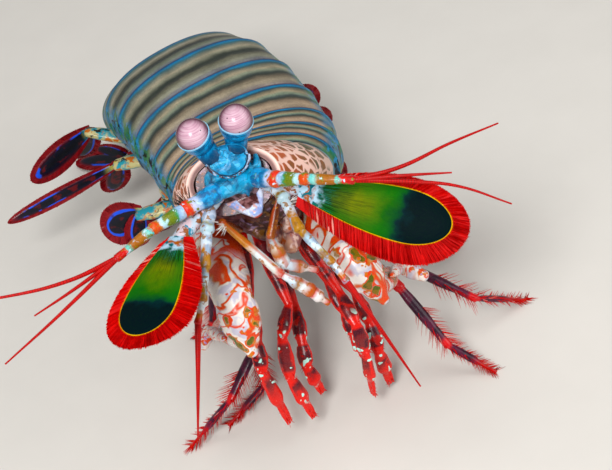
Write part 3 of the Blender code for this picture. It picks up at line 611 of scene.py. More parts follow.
def trunkStations():
    point = Vector(trunk["start"])
    runs = [(run[1], -heading(run[2], run[3]), run[2]) for run in trunk["runs"]]
    sections = [trunk["front"]] + [run[4:] for run in trunk["runs"]]
    stations = []
    for k in range(len(runs) + 1):
        before, after = runs[max(k - 1, 0)], runs[min(k, len(runs) - 1)]
        along = (before[1] + after[1]).normalized()
        yaw = math.radians((before[2] + after[2]) / 2)
        lateral = Vector((math.cos(yaw), math.sin(yaw), 0))
        stations.append((point.copy(), lateral, lateral.cross(along).normalized(), along, sections[k]))
        if k < len(runs):
            point += runs[k][1] * runs[k][0]
    return stations


stations = trunkStations()


def sectionPoint(centre, lateral, normal, size, angle):
    c, s = math.cos(angle), math.sin(angle)
    power = trunk["backPower"] if s > 0 else trunk["bellyPower"]
    x = math.copysign(abs(c) ** power, c) * size[0]
    y = math.copysign(abs(s) ** power, s) * (size[1] if s > 0 else size[2])
    return centre + lateral * x + normal * y


def makeTrunk():
    place, run = startMaterial("bandedShell")
    wave = waver(place, 0.2, 0.18)
    wave = times(wave, band(run[0], 0.04, 0.86, 0.06))
    along = plus(run[0], wave)
    bands = ramp(along, trunk["colours"])
    far = ramp(along, trunk["farColours"])
    bands = mixed(band(run[2], 0.5, 2.0, 0.22), bands, far)
    cloud = noise(place, 0.16, 4, 0.6)
    bands = mixed(times(band(cloud, 0.52, 2.0, 0.1), 0.25), bands, "#3e443a")
    lengthwise = plus(times(run[0], 9.0), times(run[2], 70.0))
    grain = addNode("CombineXYZ", {0: lengthwise, 1: times(run[1], 7.0)}).outputs[0]
    grain = noise(grain, 1.0, 5, 0.65, 0.6)
    bands = grained(0.25, bands, grain, [(0.3, "#303030"), (0.5, "#909090"), (0.72, "#dcdcdc")])
    flank = calc("ABSOLUTE", run[1])
    flank = plus(flank, times(wave, 0.25))
    blue = patched(place, "#136f9a", [(0.35, 0.52, 0.05, "#1f7a4a"), (0.6, 0.56, 0.03, "#0f8ec4")])
    colour = mixed(times(band(flank, 0.37, 0.62, 0.05), 0.8), bands, blue)
    black = times(blotches(place, 0.5, 0.57, 0.03), band(flank, 0.4, 0.6, 0.03))
    colour = mixed(black, colour, "#05090c")
    edge = times(band(flank, 0.575, 0.64, 0.012), blotches(place, 0.4, 0.47))
    colour = mixed(edge, colour, "#9aa01c")
    colour = mixed(band(flank, 0.66, 2.0, 0.03), colour, "#4a3c38")
    rearward = plus(run[2], times(run[0], 0.1))
    rear = times(band(rearward, 0.89, 2.0, 0.1), 0.6)
    mottled = [(0.5, 0.5, 0.12, "#3c5c20"), (0.9, 0.58, 0.06, "#8c8c20"), (1.1, 0.64, 0.03, "#0c6c90")]
    colour = mixed(rear, colour, patched(place, "#123c2c", mottled))
    colour = grained(0.3, colour, noise(place, 3.0, 5, 0.7), [(0.3, "#383838"), (0.7, "#d0d0d0")])
    material = endMaterial(place, colour, scale=0.9, rough=0.4, bump=0.3, coat=0.06, gloss=0.14)
    # The front thorax underside is painted very dark: partly its own maroon-brown, partly painted shade
    # between the claws.
    skin = patchedMaterial("softUndersideAndShade", "#2c1c26", [
        (0.35, 0.5, 0.08, "#5e3a42"), (0.8, 0.58, 0.06, "#9a7684"), (1.3, 0.62, 0.04, "#a85c34"),
    ], scale=1.6, rough=0.4, bump=0.6, glow=0.05)
    rows = trunk["rows"]
    for index, piece in enumerate(trunk["runs"]):
        front, rear = stations[index], stations[index + 1]
        rings, runs = [], []
        for row in range(rows + 1):
            t = row / rows
            share = blend(trunk["gap"] / piece[1], 1 - trunk["gap"] / piece[1], t)
            along = (front[3] * (1 - share) + rear[3] * share).normalized()
            centre = blend(front[0], rear[0], share)
            lateral = blend(front[1], rear[1], share).normalized()
            normal = lateral.cross(along).normalized()
            lift = profile(trunk["relief"], t) if index else 0.0
            ring, values = [], []
            for a in turnsOf(trunk["count"]):
                around = fromTop(a)
                tuck = smooth(0.62, 0.68, abs(around)) * 0.9 if index else 0.0
                ridge = 0.0
                if index == 9:
                    ridge = 0.45 * sum(hump(abs(around) - r, 0.018) for r in trunk["rearRidges"])
                extra = lift - tuck + ridge * smooth(0.1, 0.4, t)
                size = [blend(x, y, share) + extra for x, y in zip(front[4], rear[4])]
                ring.append(sectionPoint(centre, lateral, normal, size, a))
                values.append((t, around, index / 10))
            rings.append(ring)
            runs.append(values)
        soup = newSoup()
        addRings(soup, rings, runs)
        paint, slot = (material, "tergites") if index else (skin, "underside")
        makePiece(piece[0] + "_shell", soup, paint, [piece[0]])
    print("trunk made")
    return material


shellMaterial = makeTrunk()


carapace = {
    "length": 30.5, "thickness": 1.3, "front": (8.2, 5.5), "rear": (15.2, 7.8), "droop": 24,
    "net": "#fccfc0", "spot": "#b4500c", "spotEdge": "#6c4808", "cells": (9.5, 6.5), "rows": 40, "steps": 56,
    "grooveDepth": 0.3, "sideGroove": (0.17, 0.014), "neckGroove": (0.58, 0.02),  # place and width
}


def makeCarapace():
    place, run = startMaterial("spottedShell")
    along, around = (times(run[k], carapace["cells"][k]) for k in (0, 1))
    wobble = times(noise(place, 0.3), 0.8)
    grid = addNode("CombineXYZ", {0: along, 1: plus(around, wobble)}).outputs[0]
    inputs = {"Vector": grid, "Scale": 1.0, "Randomness": 0.75}
    cells = addNode("TexVoronoi", inputs, feature="DISTANCE_TO_EDGE")
    spots = band(cells.outputs["Distance"], 0.1, 9.0, 0.035)
    spots = times(spots, band(run[0], 0.012, 0.97, 0.01))
    spots = times(spots, band(calc("ABSOLUTE", run[1]), -1.0, 0.93, 0.02))
    core = ramp(plus(times(run[0], 0.6), noise(place, 0.3)), [
        (0.35, "#e06004"), (0.6, carapace["spot"]), (0.85, carapace["spotEdge"]), (1.0, "#3c3a0a"),
    ])
    colour = mixed(spots, carapace["net"], core)
    farther = band(run[0], 0.55, 2.0, 0.2)
    colour = mixed(times(farther, 0.35), colour, "#6c5c38")
    colour = mixed(band(run[0], 0.955, 2.0, 0.01), colour, "#2f7f96")
    colour = mixed(band(run[2], 0.4, 2.0, 0.3), colour, "#7a4a44")
    material = endMaterial(place, colour, scale=0.8, rough=0.36, bump=0.2, coat=0.06, gloss=0.12)
    front, rear = stations[:2]
    share = carapace["length"] / trunk["runs"][0][1]
    rows, steps, droop, depth = (carapace[key] for key in ("rows", "steps", "droop", "grooveDepth"))
    (beside, narrow), (neck, wide) = carapace["sideGroove"], carapace["neckGroove"]
    rings, runs = [], []
    for row in range(rows + 1):
        t = row / rows
        centre = blend(front[0], rear[0], t * share)
        half = blend(carapace["front"][0], carapace["rear"][0], math.sin(t * math.pi / 2))
        over = blend(carapace["front"][1], carapace["rear"][1], math.sin(t * math.pi / 2))
        bead = 0.12 * (smooth(0.95, 1.0, t) + 1 - smooth(0.0, 0.05, t))
        ring, values = [], []
        for layer in (0, 1):
            for k in range(steps + 1):
                u = k / steps if layer == 0 else 1 - k / steps
                a = math.radians(-droop + (180 + 2 * droop) * u)
                groove = -depth * hump(abs(u - 0.5) - beside, narrow) * smooth(0.03, 0.12, t)
                groove -= depth * hump(t - neck - 0.5 * (abs(u - 0.5)) ** 2, wide)
                out = bead + groove + 0.15 * (1 - smooth(0.0, 0.04, min(u, 1 - u)))
                inside = layer * carapace["thickness"]
                point = centre + front[1] * (half + out - inside) * math.cos(a)
                ring.append(point + front[2] * (over + out - inside) * math.sin(a))
                values.append((t, 2 * u - 1, layer))
        rings.append(ring)
        runs.append(values)
    soup = newSoup()
    addRings(soup, rings, runs, arched=True)
    makePiece("carapace_shell", soup, material, ["carapace"])
    print("carapace made")


makeCarapace()


head = {
    "lateral": (0.988, -0.156, 0.0), "facing": (-0.11, -0.70, 0.70),
    "sections": ((0.35, 5.2, 3.6, 4.0), (1.8, 4.2, 3.6, 3.0), (3.2, 3.2, 3.1, 2.4), (4.3, 2.2, 2.4, 1.8)),
    "shieldCentre": (0.45, 1.1, 61.0), "shieldHalf": (4.1, 3.0), "shieldTurn": -6, "beak": (1.4, -1.6, 55.5),
    "count": 32, "shieldCount": 96,
    "ridges": [  # below the shield, beside it and down the beak: across, up and ahead of the beak
        ((0, 1.9, 0.25), (3.0, 2.2, -0.8), [0.75, 0.65, 0.5]),
        ((3.0, 2.2, -0.8), (3.4, 5.2, -1.4), [0.6, 0.7, 0.5]),
        ((0.9, 1.6, 0), (0, -0.9, 0.2), [0.4, 0.35, 0.25]),
    ],
    "shieldRings": (  # share of the half widths, and the lift there
        (0.12, 1.0), (0.25, 0.99), (0.38, 0.96), (0.5, 0.9), (0.62, 0.8), (0.72, 0.68), (0.8, 0.56),
        (0.86, 0.46), (0.9, 0.44), (0.93, 0.6), (0.96, 0.7), (0.985, 0.64), (1.0, 0.35), (0.97, -0.1),
        (0.6, -0.5),
    ),
    # pale is the colour of the pale blotches: partly the shell's own mottling, partly painted highlight.
    "blue": "#04a0d0", "deep": "#045c88", "line": "#04202c", "pale": "#64c8ec", "rim": "#b8c4dc",
    "rimShade": "#4c2c34",
}


def faceMaterial():
    place, _ = startMaterial("turquoiseShell")
    colour = mixed(blotches(place, 0.5, 0.5, 0.12), head["blue"], head["deep"])
    # Pale blotches over the blue: partly the shell's own mottling, partly painted highlight.
    colour = mixed(times(blotches(place, 0.7, 0.6, 0.08), 0.6), colour, head["pale"])
    veins = noise(place, 0.4, 2, 0.5, 0.9)
    colour = mixed(times(band(veins, 0.5, 0.52, 0.015), 0.8), colour, head["line"])
    # Below a height of 56.2 mm and away from the beak the head takes the dark flesh colour: partly the flesh's
    # own maroon-brown, partly painted shade under the head.
    beak = addNode("VectorMath", {0: place, 1: Vector(head["beak"]) + shift / mm}, operation="DISTANCE")
    height = calc("SUBTRACT", addNode("SeparateXYZ", {0: place}).outputs[2], shift.z / mm)
    height = plus(height, times(noise(place, 0.8), 1.2))
    gap = times(band(height, -99.0, 56.2, 0.3), band(beak.outputs["Value"], 1.9, 99.0, 0.3))
    inner = mixed(blotches(place, 0.6, 0.54, 0.06), "#2a120e", "#8c6c74")
    colour = mixed(gap, colour, inner)
    colour = grained(0.2, colour, noise(place, 4.0, 5, 0.7), [(0.3, "#303030"), (0.7, "#d8d8d8")])
    return endMaterial(place, colour, scale=1.8, rough=0.34, bump=0.5, coat=0.2, glow=0.03)


def makeHead():
    material = faceMaterial()
    lateral, facing = Vector(head["lateral"]), Vector(head["facing"]).normalized()
    up = facing.cross(lateral) * -1
    if up.z < 0:
        up = -up
    axis, ahead = Vector(trunk["start"]), -stations[0][3]
    soup = newSoup()
    rings, runs = [], []
    for distance, *size in head["sections"]:
        centre = axis + ahead * distance
        rings.append([sectionPoint(centre, *stations[0][1:3], size, a) for a in turnsOf(head["count"])])
        runs.append([(0, 0, 0)] * head["count"])
    addRings(soup, rings, runs)
    for side in sides:
        root, segments = antennules[side]
        direction = heading(*segments[0][1:])
        root, base = Vector(root), Vector(stalkBases[side])
        addSegment(soup, root - direction * 3.0, root + direction * 0.8, [2.3, 2.1, 1.85], (0, 0), 0.9)
        addSegment(soup, base - eyeAxis * 2.0, base + eyeAxis * 0.5, [1.9, 1.5], (0, 0))
    beak = Vector(head["beak"])

    def spot(side, x, y, z):
        return beak + lateral * side * x + up * y + facing * z

    beakEnds = spot(1, 0, 2.4, -0.6), spot(1, 0, -1.3, 0.1)
    addSegment(soup, *beakEnds, [2.1, 1.2, 0.3], (0, 0), 0.75, across=lateral)
    for side in sides.values():
        for start, end, radii in head["ridges"]:
            addSegment(soup, spot(side, *start), spot(side, *end), radii, (0, 0))
    makeSkin("head_shell", soup, 0.22, 5, material, ["head"])
    soup = newSoup()
    centre = Vector(head["shieldCentre"])
    rings, runs = [], []
    lean = math.radians(head["shieldTurn"])
    across = lateral * math.cos(lean) + up * math.sin(lean)
    rise = up * math.cos(lean) - lateral * math.sin(lean)
    for rho, lift in head["shieldRings"]:
        ring, values = [], []
        for a in turnsOf(head["shieldCount"]):
            reach = 1 - 0.12 * math.cos(2 * a) * (1 if math.sin(a) > 0 else 0.3)
            low = 0.85 if math.sin(a) > 0 else 1 + 0.12 * math.sin(a) ** 6
            x = head["shieldHalf"][0] * math.cos(a) * reach
            y = head["shieldHalf"][1] * math.sin(a) * low
            furrow = 0.12 * math.sin(5 * a + 6 * rho) * math.sin(math.pi * min(rho, 0.9) / 0.9)
            furrow = furrow if lift > 0.44 else 0.0
            ring.append(centre + across * x * rho + rise * y * rho + facing * (lift * 1.1 - 0.6 + furrow))
            values.append((rho, math.sin(a), 1))
        rings.append(ring)
        runs.append(values)
    addRings(soup, rings, runs)
    place, run = startMaterial("shieldShell")
    shades = ramp(noise(place, 0.45, 4, 0.6), [(0.3, "#034468"), (0.5, "#0484b8"), (0.7, "#18a8dc")])
    # Pale blotches over the blue: partly the plate's own mottling, partly painted highlight.
    colour = mixed(times(blotches(place, 0.9, 0.64, 0.06), 0.6), shades, head["pale"])
    veins = noise(place, 0.4, 2, 0.5, 1.2)
    colour = mixed(times(band(veins, 0.5, 0.52, 0.015), 0.8), colour, head["line"])
    low = band(run[1], -2.0, 0.25, 0.2)
    reach = plus(run[0], waver(place, 1.2, 0.12))
    rim = times(band(reach, 0.9, 2.0, 0.012), low)
    rimPatches = [(0.9, 0.52, 0.03, head["rimShade"]), (1.3, 0.56, 0.03, head["blue"])]
    rimColour = patched(place, head["rim"], rimPatches)
    colour = mixed(times(band(reach, 0.82, 0.905, 0.015), low), colour, "#04304c")
    colour = mixed(rim, colour, rimColour)
    plate = endMaterial(place, colour, scale=1.6, rough=0.34, bump=0.45, coat=0.2)
    makePiece("shield_plate", soup, plate, ["rostral_plate"])
    print("head made")


eyeAxis = Vector((0.0, 0.12, 0.99)).normalized()
stalkBases = {"right": (-1.3, 2.6, 60.2), "left": (2.3, 2.2, 60.2)}
eye = {
    "radius": 2.95, "gaze": (-0.12, -0.78, 0.615), "pink": "#cb9fb1", "deepPink": "#a87890",
    "glint": "#dcc0cc",
    # rim and maroon darken the cornea by its angle from gaze: partly the eye's own maroon edge, partly painted
    # shade.
    "rim": [
        (0.0, "#000000"), (0.28, "#303030"), (0.44, "#6c6c6c"), (0.56, "#b0b0b0"), (0.66, "#e4e4e4"),
        (0.76, "#ffffff"),
    ],
    "maroon": "#4c0c2c", "cup": "#0498d4", "cupRim": "#98d4f4", "across": (0.903, -0.346, -0.257),
    "turn": 0.42, "around": 56, "rows": 40, "cupAround": 48,
    "stalk": ((-0.1, 1.3), (0.0, 1.6), (0.1, 1.7), (0.2, 1.9)),
    "cupRings": (  # how far behind the eye's centre, and the radius there
        (3.3, 2.1), (2.9, 2.4), (2.4, 2.62), (1.9, 2.76), (1.4, 2.86), (0.9, 2.94), (0.5, 3.0), (0.22, 3.06),
        (0.0, 3.06),
    ),
    "dots": {"right": [(0.45, 0.25), (0.1, -0.75)], "left": [(-0.5, 0.1), (0.2, -0.7)]},
}
antennules = {
    "right": ((-2.2, -0.2, 56.6), [(7.4, -80, 2), (6.7, -78, 2), (8.2, -70, -2)]),
    "left": ((3.4, -0.8, 56.6), [(5.5, 32, 12), (5.9, 42, 9), (8.4, 52, -2)]),
}
makeHead()


def makeEyes():
    gaze = Vector(eye["gaze"]).normalized()
    right = Vector(eye["across"])
    up = gaze.cross(right)
    for side in sides:
        centre = Vector(eyes[side])
        place, run = startMaterial("cornea_" + side)
        stretch = {0: place, "Rotation": (0.0, 0.35, 0.0), "Scale": (0.2, 0.2, 6.5)}
        streak = addNode("Mapping", stretch).outputs[0]
        lines = noise(streak, 1.3, 2, 0.5)
        colour = ramp(lines, [(0.3, eye["deepPink"]), (0.48, eye["pink"]), (0.68, eye["glint"])])
        colour = mixed(times(blotches(place, 0.22, 0.5, 0.12), 0.35), colour, eye["pink"])
        # The maroon rim darkens the cornea towards its outline as seen along gaze, which is the view
        # direction: partly the eye's own maroon edge, partly painted shade where the surface turns away from
        # the view; it fades out past 1.2.
        rim = times(ramp(run[0], eye["rim"]), band(run[0], -1.0, 1.2, 0.15))
        colour = mixed(rim, colour, eye["maroon"])
        for x, y in eye["dots"][side]:
            spot = (gaze * math.sqrt(1 - x * x - y * y) + right * x + up * y) * eye["radius"]
            target = (centre + spot) + shift / mm
            apart = addNode("VectorMath", {0: place, 1: target}, operation="DISTANCE").outputs["Value"]
            colour = mixed(band(apart, -1.0, 0.11, 0.03), colour, "#0a0508")
        material = endMaterial(place, colour, scale=4.0, rough=0.22, bump=0.03, coat=0.35)
        rings, runs = [], []
        for row in range(1, eye["rows"]):
            a = math.pi * row / eye["rows"]
            wide = eye["radius"] * math.sin(a)
            middle = centre + eyeAxis * eye["radius"] * math.cos(a)
            ring = ovalRing(middle, *crossFrame(eyeAxis), wide, wide, eye["around"])
            rings.append(ring)
            # run[0] is the angle from gaze, the view direction, a quarter turn being 1; it places the painted
            # shade of the maroon rim.
            turns = [(p - centre).normalized().dot(gaze) for p in ring]
            runs.append([(math.acos(max(-1, min(1, turn))) / (math.pi / 2), 0, 0) for turn in turns])
        soup = newSoup()
        addRings(soup, rings, runs)
        makePiece("cornea_" + side + "_lens", soup, material, ["cornea_" + side])
        base = Vector(stalkBases[side])
        along = (centre - base).normalized()
        frameSide, frameUp = crossFrame(along)
        length = (centre - base).length
        soup, rings, runs, count = newSoup(), [], [], eye["cupAround"]
        for t, radius in eye["stalk"]:
            rings.append(ovalRing(base + along * length * t, frameSide, frameUp, radius, radius, count))
            runs.append(aroundRuns(count, t, 0))
        opening = blend(along, gaze, eye["turn"]).normalized()
        cupSide, cupUp = crossFrame(opening, frameSide)
        for behind, radius in eye["cupRings"]:
            rings.append(ovalRing(centre - opening * behind, cupSide, cupUp, radius, radius, count))
            runs.append(aroundRuns(count, 1 - behind / 5, 0))
        for inner in (eye["radius"] - 0.1, 1.5):
            rings.append(ovalRing(centre, cupSide, cupUp, inner, inner, count))
            runs.append(aroundRuns(count, 1.0, 0))
        addRings(soup, rings, runs)
        place, run = startMaterial("eyeCup_" + side)
        colour = mixed(blotches(place, 0.7, 0.52, 0.1), eye["cup"], "#046498")
        colour = mixed(band(run[0], 0.78, 0.82, 0.008), colour, "#054c78")
        colour = mixed(band(run[0], 0.94, 2.0, 0.008), colour, eye["cupRim"])
        colour = mixed(band(run[0], -1.0, 0.3, 0.08), colour, "#043c60")
        cup = endMaterial(place, colour, scale=1.8, rough=0.28, bump=0.35, coat=0.3)
        makePiece("eyestalk_" + side + "_cup", soup, cup, ["eyestalk_" + side])
    print("eyes made")


makeEyes()


labrum = {
    "root": (1.3, 0.7, 53.1), "run": (4.9, 15, -60), "across": (1, -0.15, 0),
    "halfWidths": (3.9, 0.6), "thickness": 1.5, "camber": 0.8, "ridge": 0.5, "rows": 24, "columns": 32,
    "white": "#d4dcf0", "blue": "#8fa4dc", "pink": "#d8a8a8", "dark": "#4a1c1c", "tip": "#c83c10",
}


def makeLabrum():
    place, run = startMaterial("lipShell")
    patches = [(0.5, 0.5, 0.12, labrum["blue"]), (0.9, 0.6, 0.04, labrum["pink"])]
    colour = patched(place, labrum["white"], patches)
    arms = calc("MAXIMUM", run[0], times(run[1], 0.95))
    inner = plus(arms, times(noise(place, 0.9), 0.25))
    heart = mixed(blotches(place, 0.8, 0.5, 0.08), labrum["dark"], "#8a5a5c")
    colour = mixed(band(inner, -1.0, 0.62, 0.04), colour, heart)
    colour = mixed(band(run[1], 0.9, 2.0, 0.04), colour, labrum["tip"])
    material = endMaterial(place, colour, scale=1.6, rough=0.28, bump=0.3, coat=0.3, glow=0.04)
    length, yaw, rise = labrum["run"]
    root, along = Vector(labrum["root"]), heading(yaw, rise)
    side = Vector(labrum["across"])
    side = (side - along * side.dot(along)).normalized()
    face = along.cross(side)
    if face.y > 0:
        face = -face
    soup = newSoup()
    rows, columns = labrum["rows"], labrum["columns"]
    for layer in (-1, 1):
        start = len(soup["points"])
        for row in range(rows + 1):
            t = row / rows
            half = blend(*labrum["halfWidths"], t) + 0.35 * math.sin(math.pi * t)
            for column in range(columns + 1):
                u = 2 * column / columns - 1
                edge = layer * (1 - max(abs(u), 2 * abs(t - 0.5)) ** 8)
                arm = max(abs(u), t * 0.95)
                ridge = labrum["ridge"] * hump(arm - 0.78, 0.16) if layer > 0 else 0.0
                lift = labrum["camber"] * (1 - u * u) * 0.6 + edge * (labrum["thickness"] / 2 + ridge - 0.3)
                soup["points"].append(root + along * length * t + side * half * u + face * lift)
                soup["runs"].append((abs(u), t, layer))
        addGridFaces(soup, start, rows, columns)
    makePiece("labrum_lip", soup, material, ["labrum"], softAngle)
    print("labrum made")


makeLabrum()


# The mouth: a folded base of dark flesh, partly painted shade, and paler lobes under the labrum
mouth = {
    "base": ((3.8, 1.1, 48.4), (6.4, 10.6, 35.0)), "radii": [4.4, 5.8, 4.8], "flat": 0.55,
    "across": (0.95, -0.31, 0),
    "folds": [
        ((0.6, 0.2, 50.2), (3.2, 1.2, 44.2), [0.9, 1.1, 0.7]),
        ((6.6, -0.6, 49.4), (5.6, 0.6, 44.6), [0.9, 1.1, 0.7]),
        ((3.2, 0.4, 48.6), (4.2, 0.4, 44.6), [0.8, 1.0, 0.6]),
        ((0.2, 3.2, 44.4), (3.4, 3.6, 38.6), [0.9, 1.2, 0.8]),
        ((9.4, 1.6, 46.2), (8.8, 2.2, 42.4), [0.8, 1.2, 0.9]),
        ((7.6, 3.4, 38.6), (6.6, 6.0, 34.6), [1.0, 1.3, 0.9]),
    ],
    "lobes": [
        ((5.0, 2.7, 42.6), (2.7, -0.4, 39.8), [1.2, 1.5, 1.2]),
        ((8.1, 2.5, 41.3), (5.7, -1.4, 39.1), [1.5, 1.9, 1.5]),
        ((7.4, 1.6, 44.6), (6.2, -0.6, 42.6), [1.1, 1.4, 1.0]),
    ],
}


def makeMouth():
    soup = newSoup()
    addSegment(soup, *mouth["base"], mouth["radii"], (0, 1), mouth["flat"], 32, 20, mouth["across"])
    addForms(soup, mouth["folds"], (0, 1), 0.8)
    # The dark base is partly the flesh's own maroon-brown and partly painted shade under the head and between
    # the claws.
    flesh = patchedMaterial("mouthFleshAndShade", "#2a1210", [
        (0.3, 0.5, 0.1, "#4e2a2c"), (0.6, 0.56, 0.06, "#6a4410"), (0.5, 0.62, 0.05, "#7c6484"),
        (1.1, 0.66, 0.03, "#b08c94"),
    ], scale=1.4, rough=0.34, bump=0.7, coat=0.3, glow=0.03)
    makeSkin("mouth_base", soup, 0.3, 3, flesh)
    lobes = patchedMaterial("mouthLobes", "#b4866c", [
        (0.35, 0.5, 0.1, "#8c5c5c"), (0.7, 0.56, 0.05, "#d0b0a4"), (0.6, 0.62, 0.04, "#a84c10"),
    ], scale=1.4, rough=0.32, bump=0.5, coat=0.3, glow=0.06)
    soup = addForms(newSoup(), mouth["lobes"], (0, 1), 0.85, 24, 14)
    makeSkin("mouth_lobes", soup, 0.22, 3, lobes)
    print("mouth made")


makeMouth()


# Antennules: turquoise base, then red, white, olive and golden bands to a three-part red whip
antennuleLook = {
    "radii": [1.95, 1.42, 1.05, 0.7], "flat": 0.95, "rings": (24, 20),
    "shape": (("near", 0.84), ("near", 0.96), ("near", 0.88), ("far", 1.0), ("far", 1.12)),
}
whips = {
    "right": [
        [(9.0, -85, 3), (11.1, -98, 7), (10.0, -106, 10)],
        [(8.5, -78, -5), (8.6, -78, -2)],
        [(12.6, -70, -9), (13.4, -71, -7)],
    ],
    "left": [
        [(8.3, 74, 1), (9.2, 84, 6), (8.6, 83, 3)],
        [(8.6, 64, -4), (8.0, 65, -7)],
        [(10.4, 62, -11), (7.1, 59, -14), (9.4, 51, -24)],
    ],
}
antennuleColours = [
    (0.0, "#0f8cc8"), (0.2, "#1590c4"), (0.24, "#a8c0e0"), (0.285, "#c8c8e8"), (0.3, "#c86014"),
    (0.33, "#d81e08"), (0.36, "#c84a0c"), (0.385, "#a8c8e0"), (0.42, "#8fb4d8"), (0.45, "#2c8a4c"),
    (0.48, "#647c0c"), (0.55, "#6c7c0c"), (0.57, "#b4e0e4"), (0.6, "#c4dcec"), (0.615, "#b87414"),
    (0.64, "#d83c08"), (0.69, "#c85a0c"), (0.705, "#5cc8c4"), (0.74, "#8cd0c8"), (0.76, "#a8680c"),
    (0.87, "#a05a0c"), (0.895, "#5cc8b8"), (0.92, "#d81408"), (1.0, "#b80c08"),
]


def redMaterial(name, deep, bright, rings=0.0):
    place, run = startMaterial(name)
    colour = mixed(noise(place, 1.2), deep, bright)
    if rings:
        wave = calc("SINE", times(run[0], rings))
        colour = mixed(band(wave, 0.7, 2.0, 0.2), colour, deep)
    return endMaterial(place, colour, scale=2.5, rough=0.38, bump=0.3, coat=0.06, glow=0.03, gloss=0.12)


whipMaterial = redMaterial("redWhip", "#8c0608", "#d80e06", 420)


def makeAntennules():
    place, run = startMaterial("bandedPeduncle")
    wave = waver(place, 0.7, 0.13)
    colour = ramp(plus(run[2], wave), antennuleColours)
    colour = patched(place, colour, [(0.9, 0.62, 0.04, "#7c7c14"), (1.1, 0.65, 0.03, "#c4dcec")])
    mottle = patched(place, "#109ad6", [(0.8, 0.5, 0.1, "#065088"), (1.2, 0.66, 0.03, "#1c8a5c")])
    colour = mixed(times(band(run[2], -1.0, 0.22, 0.03), 0.8), colour, mottle)
    colour = grained(0.35, colour, noise(place, 4.0, 5, 0.7), [(0.3, "#303030"), (0.7, "#e6e6e6")])
    material = endMaterial(place, colour, scale=2.0, rough=0.28, bump=0.35, coat=0.3, glow=0.03)
    for side in sides:
        soup = newSoup()
        points = addLimb(soup, *antennules[side], antennuleLook)
        makePiece("antennule_" + side + "_stem", soup, material, ["antennule_" + side])
        soup = newSoup()
        tip = points[-1] - heading(*antennules[side][1][-1][1:]) * 0.2
        for lash in whips[side]:
            addWhip(soup, joints(tip, lash), 0.46, 0.14, (0, 1))
        makePiece("antennule_whips_" + side, soup, whipMaterial, ["antennule_flagella_" + side])
    print("antennules made")


makeAntennules()


# Antennal scales: a stiff green blade inside a broad fringe of red bristles
scaleRuns = {
    "right": ((-12.9, -3.4, 52.9), (28.0, -35, 3), (0.98, -0.19, -0.04)),
    "left": ((9.6, -5.2, 53.4), (30.0, 52, -19), (0.75, 0.33, 0.57)),
}
scale = {
    "outerEdge": {"right": -1, "left": 1}, "half": 4.9, "rootHalf": 1.3, "widest": 0.62, "tipFringe": 3.0,
    "outerFringe": (0.3, 2.0), "innerFringe": (1.8, 3.6), "thickness": 0.8, "camber": 0.9,
    "olive": "#6c7800", "green": "#186002", "dark": "#062c0a", "night": "#020e18", "line": "#dcb400",
    "fringe": "#e40600", "fringeDeep": "#9c0206",
    "fringeLook": {"count": 560, "from": 0.03, "sweep": 0.03, "short": 0.93, "width": 0.36}, "webShare": 0.9,
}


